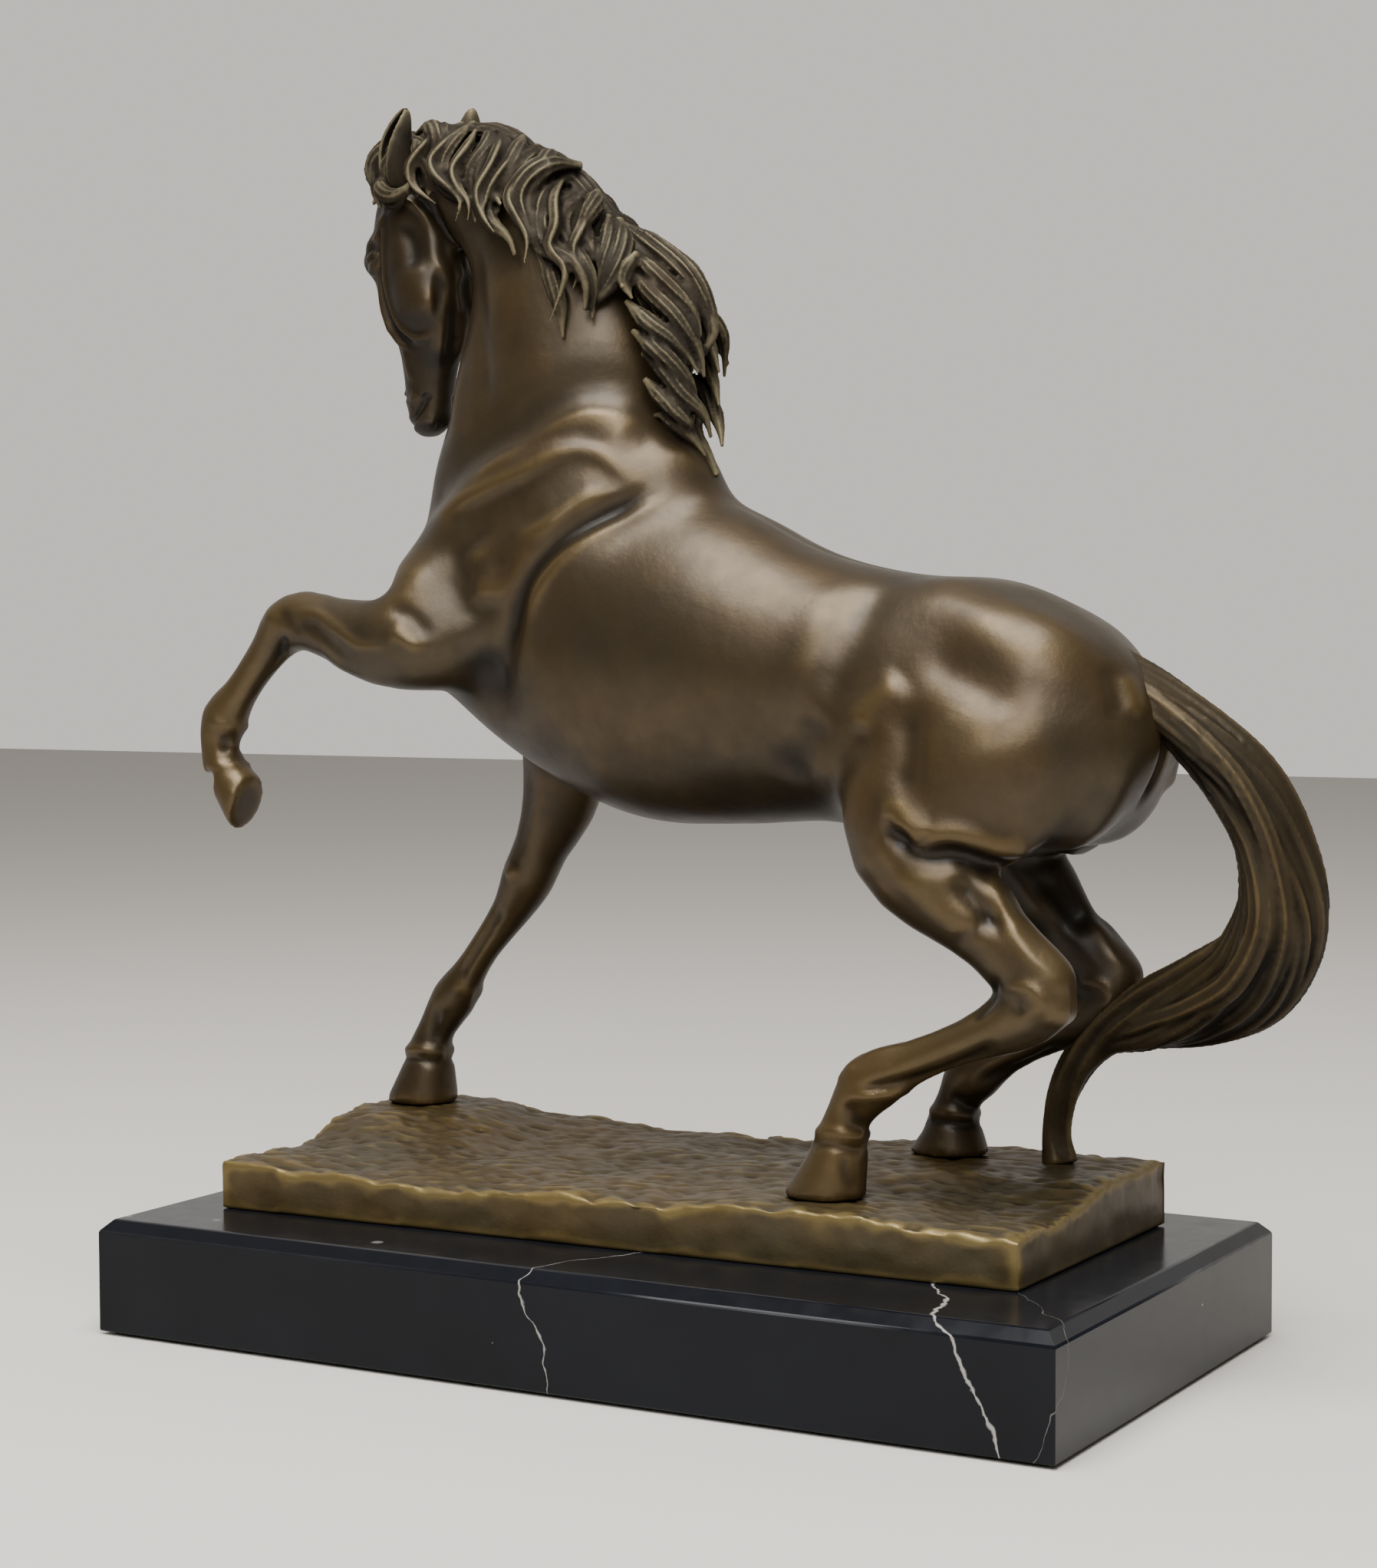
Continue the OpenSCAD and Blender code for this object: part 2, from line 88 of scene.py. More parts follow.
def add_node(tree: bpy.types.NodeTree, kind: str, settings: dict | None = None,
             links: dict | None = None) -> bpy.types.Node:
    """Add a shader node, set it up and link its inputs.

    Args:
        tree: the node tree that takes the node.
        kind: the node's type name.
        settings: values by property name, or by input name or number.
        links: output sockets by input name or number.

    Returns:
        The new node.
    """
    made = tree.nodes.new(kind)
    for key, value in (settings or {}).items():
        if isinstance(key, str) and hasattr(made, key) and key not in made.inputs:
            setattr(made, key, value)
        else:
            made.inputs[key].default_value = value
    for key, socket in (links or {}).items():
        tree.links.new(socket, made.inputs[key])
    return made


def smoothstep(low: float, high: float, value: np.ndarray | float) -> np.ndarray | float:
    """Ease from 0 at low to 1 at high."""
    t = np.clip((np.asarray(value) - low) / (high - low), 0.0, 1.0)
    return t * t * (3.0 - 2.0 * t)


def curve_through(points: Sequence[Sequence[float]], step: float) -> np.ndarray:
    """Sample a smooth curve through points, about every step.

    Args:
        points: the points that the curve passes, of any dimension.
        step: the distance between samples, in the points' units.

    Returns:
        An array with one row per sample.
    """
    p = np.asarray(points, float)
    if len(p) == 1:
        return p
    ends = np.vstack([2 * p[0] - p[1], p, 2 * p[-1] - p[-2]])
    rows = []
    for i in range(1, len(ends) - 2):
        a, b, c, d = ends[i - 1:i + 3]
        count = max(2, int(np.linalg.norm(c - b) / step) + 1)
        t = np.linspace(0, 1, count, endpoint=False)[:, None]
        rows.append(0.5 * (2 * b + (c - a) * t + (2 * a - 5 * b + 4 * c - d) * t ** 2
                           + (3 * b - a - 3 * c + d) * t ** 3))
    rows.append(p[-1:])
    return np.vstack(rows)


def new_object(name: str, mesh: bpy.types.Mesh) -> bpy.types.Object:
    """Put a mesh in the scene as an object at the origin."""
    made = bpy.data.objects.new(name, mesh)
    bpy.context.scene.collection.objects.link(made)
    return made


def mesh_from(bm: bmesh.types.BMesh, name: str) -> bpy.types.Mesh:
    """Turn a bmesh into a mesh with smooth faces, and free it."""
    for face in bm.faces:
        face.smooth = True
    mesh = bpy.data.meshes.new(name)
    bm.to_mesh(mesh)
    bm.free()
    return mesh


def applied(obj: bpy.types.Object) -> None:
    """Apply an object's modifiers to its mesh."""
    graph = bpy.context.evaluated_depsgraph_get()
    made = bpy.data.meshes.new_from_object(obj.evaluated_get(graph))
    obj.modifiers.clear()
    old = obj.data
    obj.data = made
    bpy.data.meshes.remove(old)


def blank_material(name: str) -> tuple[bpy.types.Material, bpy.types.NodeTree]:
    """Make a material whose node tree is empty, and give both."""
    mat = bpy.data.materials.new(name)
    mat.use_nodes = True
    mat.node_tree.nodes.clear()
    return mat, mat.node_tree


def cover(pieces: Iterable[bpy.types.Object], mat: bpy.types.Material) -> None:
    """Give pieces one material in place of what they had."""
    for piece in pieces:
        piece.data.materials.clear()
        piece.data.materials.append(mat)


def cad_copy(*nodes: str) -> bmesh.types.BMesh:
    """Copy CAD nodes into one bmesh with their loose triangles merged.

    Args:
        nodes: names of CAD nodes.

    Returns:
        A bmesh in metres.
    """
    bm = bmesh.new()
    for name in nodes:
        start = len(bm.verts)
        bm.from_mesh(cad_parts[name].data)
        bm.verts.ensure_lookup_table()
        bmesh.ops.remove_doubles(bm, verts=bm.verts[start:], dist=0.002 * MM)
    return bm


@dataclass(frozen=True)
class Place:
    """The figure's own axes: millimetres from the plinth's nominal top.

    Attributes:
        thick: the plinth's nominal thickness in millimetres.
        top: the height of its nominal top in metres.
    """

    thick: float = 14.4
    top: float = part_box("plinth")[0][2] + thick * MM

    @property
    def origin(self) -> np.ndarray:
        """The figure's zero in scene millimetres."""
        return np.array([0.0, 0.0, self.top / MM])

    def world(self, point: Sequence[float]) -> Vector:
        """Turn figure millimetres into scene metres."""
        return Vector((point[0] * MM, point[1] * MM, self.top + point[2] * MM))


PLACE = Place()
# the head looks away from the near side, turned about the poll at this x and y in millimetres
HEAD_TURN = math.radians(25)
POLL = (-86.0, 10.0)


# ---------------------------------------------------------------- finishes

@dataclass(frozen=True)
class PatinatedBronze:
    """Lost-wax bronze under a brushed-on brown patina, waxed and rubbed back by hand.

    The patina gathers dark in the recesses, and hands rub the proud edges back to warm metal,
    so the colour follows the surface: an attribute on the piece says how deep a point is, and also
    carries painted shade, darker under faces that look down and on castings that lie in shadow.
    The eye gets a broad soft shine from the wax, broken by the mottle of the torched chemicals.

    Attributes:
        name: the material's name.
        body: the patina's colour.
        cool: the greener brown that it drifts to.
        recess_and_shade: the colour deep in hollows.
        rubbed: the metal where hands rub it.
        edge: the tint of its reflections at a slant.
        rub: how much rubbed metal shows on proud edges.
        hollow_and_shade_darkness: how dark the hollows and the painted shade go.
        roughness: of the patina under the wax.
        metal: how metallic it is; the patina hides part of the metal.
        coat: how much wax lies on it.
        gloss: strength of the reflections.
        grain: strength of the casting's grain.
    """

    name: str = "brown_patinated_bronze"
    body: str = "#463822"
    cool: str = "#3b3326"
    recess_and_shade: str = "#120f0b"
    rubbed: str = "#8d7443"
    edge: str = "#8f8a80"
    rub: float = 0.14
    hollow_and_shade_darkness: float = 0.8
    roughness: float = 0.36
    metal: float = 0.6
    coat: float = 0.36
    gloss: float = 0.35
    grain: float = 1.0

    def build(self) -> bpy.types.Material:
        """Make the material.

        Returns:
            A material with a Principled surface.
        """
        mat, tree = blank_material(self.name)
        place = add_node(tree, "ShaderNodeTexCoord").outputs["Object"]
        # the depth attribute holds the hollows' depth plus painted shade under downward faces and on shaded
        # castings
        depth = add_node(tree, "ShaderNodeAttribute",
                         {"attribute_type": "GEOMETRY", "attribute_name": "cavity_and_shade"}).outputs["Fac"]

        # drift of the torch, mottle, lumps left in the wax, and grain; the real grain is nearer
        # 0.2 mm and is drawn coarser to show
        drift, mottle, lumps, speck = (
            add_node(tree, "ShaderNodeTexNoise",
                     {"Scale": 1 / (size * MM), "Detail": detail, "Roughness": rough},
                     {"Vector": place}).outputs["Fac"]
            for size, detail, rough in ((55, 3, 0.55), (9, 6, 0.62), (5, 3, 0.5), (1.1, 4, 0.7)))
        depth_mottle_and_shade = add_node(tree, "ShaderNodeMath", {"operation": "MULTIPLY_ADD", 1: 0.4},
                          {0: mottle, 2: depth}).outputs[0]
        turned, brushed, deep, proud, dull = (
            add_node(tree, "ShaderNodeMapRange",
                     {"From Min": low, "From Max": high, "To Min": least, "To Max": most},
                     {"Value": value}).outputs[0]
            for value, low, high, least, most in (
                (drift, 0.35, 0.65, 0, 1), (mottle, 0.35, 0.7, 0, 0.35), (depth_mottle_and_shade, 0.3, 1.0, 0, self.hollow_and_shade_darkness),
                (depth_mottle_and_shade, 0.0, -0.5, 0, self.rub),
                (mottle, 0.3, 0.75, self.roughness - 0.05, self.roughness + 0.11)))
        colour = add_node(tree, "ShaderNodeMix", {"data_type": "RGBA", 6: linear(self.body),
                                                  7: linear(self.cool)}, {0: turned}).outputs[2]
        # the darkest mix is the hollows' patina together with the painted shade
        for how, share, coat in (("MULTIPLY", brushed, "#a08c6c"), ("MIX", deep, self.recess_and_shade),
                                 ("MIX", proud, self.rubbed)):
            colour = add_node(tree, "ShaderNodeMix",
                              {"data_type": "RGBA", "blend_type": how, 7: linear(coat)},
                              {0: share, 6: colour}).outputs[2]
        rough = add_node(tree, "ShaderNodeMath", {"operation": "MULTIPLY_ADD", 1: 0.28},
                         {0: deep, 2: dull}).outputs[0]
        fine = add_node(tree, "ShaderNodeBump", {"Strength": 0.22 * self.grain, "Distance": 0.25 * MM},
                        {"Height": speck})
        soft = add_node(tree, "ShaderNodeBump", {"Strength": 0.3 * self.grain, "Distance": 0.6 * MM},
                        {"Height": lumps, "Normal": fine.outputs[0]})
        surface = add_node(tree, "ShaderNodeBsdfPrincipled",
                           {"Metallic": self.metal, "Specular IOR Level": self.gloss,
                            "Specular Tint": linear(self.edge), "Coat Weight": self.coat,
                            "Coat Roughness": 0.33},
                           {"Base Color": colour, "Roughness": rough, "Normal": soft.outputs[0]})
        add_node(tree, "ShaderNodeOutputMaterial", links={"Surface": surface.outputs[0]})
        return mat


# ---------------------------------------------------------------- modelling the skin

class View(Enum):
    """The plane a stroke is drawn in, as the two axes that it spans and the one it looks along."""

    SIDE = (0, 2, 1)
    END = (1, 2, 0)
    TOP = (0, 1, 2)


@dataclass(frozen=True)
class Mark:
    """One stroke of the modelling tool, or one pressed or added lump.

    Attributes:
        points: millimetres in the view's two axes; a single point makes a lump.
        width: half width of the stroke in millimetres.
        height: how far it raises the clay, or cuts it where negative.
        side: which faces it reaches: those that look towards NEAR (or the front), FAR, or BOTH.
        step: raise the left of the stroke and sink its right, as where one muscle laps another.
        fade: share of the stroke over which each end dies away.
        long: a lump's length over its width.
        turn: a lump's lean in degrees.
        on: the castings it is drawn on, or all.
        view: the plane that it is drawn in.
    """

    points: tuple[Point, ...]
    width: float
    height: float
    side: Side = Side.BOTH
    step: bool = False
    fade: float = 0.3
    long: float = 1.0
    turn: float = 0.0
    on: tuple[str, ...] = ()
    view: View = View.SIDE


@dataclass
class Clay:
    """Vertices that are pushed about as clay, in millimetres.

    Attributes:
        places: one row per vertex.
        normals: the way that each vertex faces.
        parts: the casting that each vertex belongs to, as a number.
        names: the castings by number.
    """

    places: np.ndarray
    normals: np.ndarray
    parts: np.ndarray
    names: list[str]

    def draw(self, mark: Mark) -> None:
        """Push the surface along its normals under one mark.

        Args:
            mark: the stroke or lump.
        """
        a_axis, b_axis, look = mark.view.value
        flat = self.places[:, (a_axis, b_axis)]
        reach = 3 * mark.width * max(mark.long, 1.0)
        path = curve_through(mark.points, max(1.0, mark.width / 3))
        pick = np.all((flat > path.min(0) - reach) & (flat < path.max(0) + reach), axis=1)
        if mark.side is not Side.BOTH:
            pick &= self.normals[:, look] * mark.side.value > 0
        if mark.on:
            pick &= np.isin(self.parts, [self.names.index(n) for n in mark.on])
        index = np.nonzero(pick)[0]
        if not len(index):
            return
        at = flat[index]
        if len(path) == 1:
            c, s = math.cos(math.radians(mark.turn)), math.sin(math.radians(mark.turn))
            off = (at - path[0]) @ np.array([[c, -s], [s, c]])
            lift = np.exp(-((off[:, 0] / mark.long) ** 2 + off[:, 1] ** 2) / mark.width ** 2)
        else:
            lift = self.stroke(at, path, mark)
        facing = smoothstep(0.12, 0.5, np.abs(self.normals[index, look]))
        self.places[index] += self.normals[index] * (mark.height * lift * facing)[:, None]

    @staticmethod
    def stroke(at: np.ndarray, path: np.ndarray, mark: Mark) -> np.ndarray:
        """Say how strongly a stroke lifts each point.

        Args:
            at: points in the view's plane.
            path: the stroke's curve.
            mark: the stroke.

        Returns:
            A share of the stroke's height per point.
        """
        best = np.full(len(at), 1e9)
        where = np.zeros(len(at))
        signed = np.zeros(len(at))
        for i in range(len(path) - 1):
            a, d = path[i], path[i + 1] - path[i]
            t = np.clip(((at - a) @ d) / (d @ d), 0, 1)
            off = at - a - t[:, None] * d
            gap = np.linalg.norm(off, axis=1)
            closer = gap < best
            best[closer] = gap[closer]
            where[closer] = ((i + t) / (len(path) - 1))[closer]
            signed[closer] = (np.sign(d[0] * off[:, 1] - d[1] * off[:, 0]) * gap)[closer]
        ends = smoothstep(0, mark.fade, where) * smoothstep(0, mark.fade, 1 - where)
        if mark.step:
            s = signed / mark.width
            return s * np.exp(0.5 - 0.5 * s * s) * ends
        return np.exp(-(best / mark.width) ** 2) * ends


def relax(places: np.ndarray, edges: np.ndarray, rounds: int,
          share: float | np.ndarray = 0.5) -> np.ndarray:
    """Even out points over a mesh by moving each towards its neighbours.

    Args:
        places: one row per vertex.
        edges: pairs of vertex numbers.
        rounds: how many times it is done.
        share: how far a point moves towards its neighbours' middle, alike or one per point.

    Returns:
        The evened points.
    """
    count = np.bincount(edges.ravel(), minlength=len(places)).astype(float)
    count[count == 0] = 1
    out = places.copy()
    for _ in range(rounds):
        total = np.zeros_like(out)
        for axis in range(out.shape[1]):
            total[:, axis] = (np.bincount(edges[:, 0], out[edges[:, 1], axis], len(out))
                              + np.bincount(edges[:, 1], out[edges[:, 0], axis], len(out)))
        out += share * (total / count[:, None] - out)
    return out


def arrays(mesh: bpy.types.Mesh) -> tuple[np.ndarray, np.ndarray, np.ndarray]:
    """Read a mesh's points, normals and edges.

    Args:
        mesh: the mesh.

    Returns:
        Points, vertex normals and edges as arrays.
    """
    points = np.empty(len(mesh.vertices) * 3)
    normals = np.empty(len(mesh.vertices) * 3)
    edges = np.empty(len(mesh.edges) * 2, dtype=np.int64)
    mesh.vertices.foreach_get("co", points)
    mesh.vertex_normals.foreach_get("vector", normals)
    mesh.edges.foreach_get("vertices", edges)
    return points.reshape(-1, 3), normals.reshape(-1, 3), edges.reshape(-1, 2)


def set_points(mesh: bpy.types.Mesh, points: np.ndarray) -> None:
    """Write points back to a mesh."""
    mesh.vertices.foreach_set("co", points.astype(np.float32).ravel())
    mesh.update()


# painted shade: how much deeper a face that looks down counts, so that undersides come out darker as if in
# shadow
UNDERSIDE_PAINTED_SHADE = 0.85


def note_cavity_and_shade(mesh: bpy.types.Mesh, near: int, wide: int, full: float,
                painted_shade: np.ndarray | float = 0.0) -> None:
    """Store how deep each vertex lies below its surroundings, with painted shade added, as one attribute.

    Args:
        mesh: the mesh.
        near: rounds of evening for small hollows.
        wide: further rounds for broad hollows.
        full: depth in millimetres that counts as one.
        painted_shade: painted shade added to each vertex, over parts that lie in shadow.
    """
    points, normals, edges = arrays(mesh)
    # painted shade: faces that look down count as deeper, so they are coloured darker
    under = smoothstep(0.05, 0.85, -relax(normals, edges, 8)[:, 2])
    small = relax(points, edges, near)
    broad = relax(small, edges, wide)
    depth = ((small - points) * normals).sum(1) + 0.6 * ((broad - points) * normals).sum(1)
    depth = relax((depth / (full * MM))[:, None], edges, 2)[:, 0] + UNDERSIDE_PAINTED_SHADE * under + painted_shade
    layer = mesh.attributes.new("cavity_and_shade", "FLOAT", "POINT")
    layer.data.foreach_set("value", np.clip(depth, -1.5, 1.5).astype(np.float32))


def ease(obj: bpy.types.Object, rounds: int, share: float) -> None:
    """Take the steps of the cells off a fused skin."""
    points, _, edges = arrays(obj.data)
    set_points(obj.data, relax(points, edges, rounds, share))


def keep_outer(bm: bmesh.types.BMesh) -> None:
    """Delete every loose shell but the one with the greatest reach."""
    bm.verts.ensure_lookup_table()
    seen = [False] * len(bm.verts)
    shells = []
    for start in bm.verts:
        if seen[start.index]:
            continue
        seen[start.index] = True
        shell, stack = [], [start]
        while stack:
            v = stack.pop()
            shell.append(v)
            for e in v.link_edges:
                w = e.other_vert(v)
                if not seen[w.index]:
                    seen[w.index] = True
                    stack.append(w)
        xs = [v.co.x for v in shell]
        shells.append((max(xs) - min(xs), shell))
    shells.sort(key=lambda item: -item[0])
    for _, shell in shells[1:]:
        bmesh.ops.delete(bm, geom=shell, context="VERTS")


def fused_all(bm: bmesh.types.BMesh, name: str, voxel: float) -> bpy.types.Object:
    """Fuse overlapping closed shells where they meet.

    Args:
        bm: the shells; it is freed.
        name: the object's name.
        voxel: size of the skin's cells in millimetres.

    Returns:
        An object with an even mesh of quads.
    """
    made = new_object(name, mesh_from(bm, name))
    remesh = made.modifiers.new("fuse", "REMESH")
    remesh.mode = "VOXEL"
    remesh.voxel_size = voxel * MM
    remesh.use_smooth_shade = True
    applied(made)
    return made


def fused(bm: bmesh.types.BMesh, name: str, voxel: float) -> bpy.types.Object:
    """Fuse closed shells and drop the hollows inside them.

    Args:
        bm: the shells; it is freed.
        name: the object's name.
        voxel: size of the skin's cells in millimetres.

    Returns:
        An object with one outer skin.
    """
    made = fused_all(bm, name, voxel)
    bm = bmesh.new()
    bm.from_mesh(made.data)
    keep_outer(bm)
    bm.to_mesh(made.data)
    bm.free()
    return made


@dataclass
class Horse:
    """The horse's bare body: the hollow castings and the legs, chased into one skin.

    Attributes:
        castings: the CAD nodes that the skin stands for.
        painted_shade: how much painted shade darkens a casting that lies in shadow.
        fine: the casting whose skin is worked finer.
        voxel: size of the skin's cells in millimetres.
        trued: rounds of evening that keep the skin's volume.
        melted: rounds of evening over the thick body alone.
        lip: how far a cut edge turns in under the skin, in millimetres.
        pieces: the finished castings.
        surface: the worked skin, for the hair to lie on.
    """

    castings: tuple[str, ...] = ("trunk", "hindquarters", "neck", "head", "left_foreleg",
                                 "right_foreleg", "left_hind_leg", "right_hind_leg")
    # painted shade: the head, turned from the light, and the far legs, in shadow, are coloured darker
    painted_shade: dict[str, float] = field(default_factory=lambda: {
        "head": 0.65, "right_hind_leg": 1.0, "right_foreleg": 0.5})
    fine: str = "head"
    voxel: float = 1.0
    trued: int = 24
    melted: int = 130
    lip: float = 2.0
    pieces: list[bpy.types.Object] = field(default_factory=list)
    surface: BVHTree | None = None

    def label(self, points: np.ndarray) -> np.ndarray:
        """Number the casting nearest to each point.

        Args:
            points: points in metres.

        Returns:
            An index into castings per point.
        """
        trees = []
        for name in self.castings:
            bm = cad_copy(name)
            trees.append(BVHTree.FromBMesh(bm))
            bm.free()
        boxes = [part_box(name) for name in self.castings]
        margin = 4 * MM
        gap = np.full(len(points), 1e9)
        found = np.zeros(len(points), dtype=np.int64)
        for number, (tree, (low, high)) in enumerate(zip(trees, boxes)):
            near = np.all((points > np.array(low) - margin) & (points < np.array(high) + margin), axis=1)
            for i in np.nonzero(near)[0]:
                away = tree.find_nearest(points[i], gap[i])[3]
                if away is not None and away < gap[i]:
                    gap[i] = away
                    found[i] = number
        return found

    def softness(self, points: np.ndarray, parts: np.ndarray) -> np.ndarray:
        """Say how freely each point may be evened: the thick body fully, thin legs not at all.

        Args:
            points: points in metres.
            parts: each point's casting.

        Returns:
            A share from 0 to 1 per point.
        """
        x, z = points[:, 0] / MM, (points[:, 2] - PLACE.top) / MM
        soft = np.ones(len(points))
        names = np.array(self.castings)[parts]
        for name, low, high in (("right_foreleg", 100, 135), ("left_hind_leg", 88, 112),
                                ("right_hind_leg", 88, 112)):
            mine = names == name
            soft[mine] = smoothstep(low, high, z)[mine]
        mine = names == "left_foreleg"
        soft[mine] = smoothstep(-98, -72, x)[mine]
        soft[names == "head"] = 0.06
        mine = names == "neck"
        soft[mine] = 1 - 0.6 * smoothstep(255, 270, z)[mine]
        return soft

    def refine(self, mesh: bpy.types.Mesh, parts: np.ndarray) -> np.ndarray:
        """Split the faces of the fine casting in four.

        Args:
            mesh: the skin.
            parts: each vertex's casting.

        Returns:
            The castings of the finer mesh's vertices.
        """
        wanted = {self.castings.index(self.fine)}
        bm = bmesh.new()
        bm.from_mesh(mesh)
        edges = [e for e in bm.edges if parts[e.verts[0].index] in wanted
                 and parts[e.verts[1].index] in wanted]
        bmesh.ops.subdivide_edges(bm, edges=edges, cuts=1, use_grid_fill=True)
        bmesh.ops.triangulate(bm, faces=[f for f in bm.faces if len(f.verts) > 4])
        bm.to_mesh(mesh)
        bm.free()
        added = np.full(len(mesh.vertices) - len(parts), self.castings.index(self.fine))
        return np.concatenate([parts, added])

    def build(self, marks: Iterable[Mark], head_marks: Iterable[Mark]) -> None:
        """Fuse the castings, model their muscles and part the skin into pieces again.

        Args:
            marks: strokes on the body.
            head_marks: strokes on the head, in the head's own axes.
        """
        whole = fused(cad_copy(*self.castings), "horse_skin", self.voxel)
        points, _, edges = arrays(whole.data)
        parts = self.label(points)
        LOG.info("skin: %d points", len(points))
        for _ in range(self.trued):
            points = relax(relax(points, edges, 1, 0.6), edges, 1, -0.58)
        points = relax(points, edges, 5)
        points = relax(points, edges, self.melted, 0.5 * self.softness(points, parts)[:, None])
        set_points(whole.data, points)
        parts = self.refine(whole.data, parts)
        points, _, edges = arrays(whole.data)
        points = relax(points, edges, 2)
        set_points(whole.data, points)
        self.work(whole.data, parts, marks, head_marks)
        # painted shade of the shaded castings, spread smoothly over the skin and added to its depth
        painted_shade = np.array([self.painted_shade.get(name, 0.0) for name in self.castings])[parts]
        painted_shade = relax(painted_shade[:, None], edges, 90, 0.8)[:, 0]
        note_cavity_and_shade(whole.data, 8, 60, 0.8, painted_shade)
        bm = bmesh.new()
        bm.from_mesh(whole.data)
        self.surface = BVHTree.FromBMesh(bm)
        bm.free()
        self.part(whole, parts)

    def work(self, mesh: bpy.types.Mesh, parts: np.ndarray, marks: Iterable[Mark],
             head_marks: Iterable[Mark]) -> None:
        """Draw the strokes on the skin.

        Args:
            mesh: the skin.
            parts: each vertex's casting.
            marks: strokes on the body.
            head_marks: strokes in the head's own axes.
        """
        points, normals, edges = arrays(mesh)
        origin = PLACE.origin
        clay = Clay(points / MM - origin, normals, parts, list(self.castings))
        for mark in marks:
            clay.draw(mark)
        set_points(mesh, (clay.places + origin) * MM)
        points, normals, edges = arrays(mesh)
        c, s = math.cos(HEAD_TURN), math.sin(HEAD_TURN)
        turn = np.array([[-c, s, 0.0], [s, c, 0.0], [0.0, 0.0, 1.0]])
        shift = np.array([POLL[0], POLL[1], 0.0])
        clay = Clay((points / MM - origin - shift) @ turn, normals @ turn, parts,
                    list(self.castings))
        for mark in head_marks:
            clay.draw(mark)
        points = (clay.places @ turn.T + shift + origin) * MM
        set_points(mesh, relax(points, edges, 1, 0.4))

    def part(self, whole: bpy.types.Object, parts: np.ndarray) -> None:
        """Cut the skin into one closed piece per casting, shaded as one.

        Args:
            whole: the full skin; it is removed.
            parts: each vertex's casting.
        """
        mesh = whole.data
        _, normals, _ = arrays(mesh)
        face_part = [int(np.bincount(parts[list(f.vertices)]).argmax()) for f in mesh.polygons]
        for number, name in enumerate(self.castings):
            bm = bmesh.new()
            bm.from_mesh(mesh)
            origin = bm.verts.layers.int.new("origin")
            for v in bm.verts:
                v[origin] = v.index
            others = [f for f in bm.faces if face_part[f.index] != number]
            bmesh.ops.delete(bm, geom=others, context="FACES")
            rim = [e for e in bm.edges if len(e.link_faces) == 1]
            lip = bmesh.ops.extrude_edge_only(bm, edges=rim)["geom"]
            for v in (g for g in lip if isinstance(g, bmesh.types.BMVert)):
                v.co -= Vector(normals[v[origin]]) * self.lip * MM
            rim = [e for e in lip if isinstance(e, bmesh.types.BMEdge) and len(e.link_faces) == 1]
            caps = bmesh.ops.holes_fill(bm, edges=rim, sides=0)["faces"]
            bmesh.ops.triangulate(bm, faces=caps)
            bm.verts.ensure_lookup_table()
            kept = [v[origin] for v in bm.verts]
            bm.verts.layers.int.remove(origin)
            made = new_object(name + "_bronze", mesh_from(bm, name + "_bronze"))
            made.data.normals_split_custom_set_from_vertices(normals[kept].tolist())
            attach(made, ROOT)
            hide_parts(name)
            self.pieces.append(made)
            LOG.info("%s: %d faces", made.name, len(made.data.polygons))
        bpy.data.objects.remove(whole)

    def dress(self, finish: PatinatedBronze) -> None:
        """Give every piece its finish."""
        cover(self.pieces, finish.build())


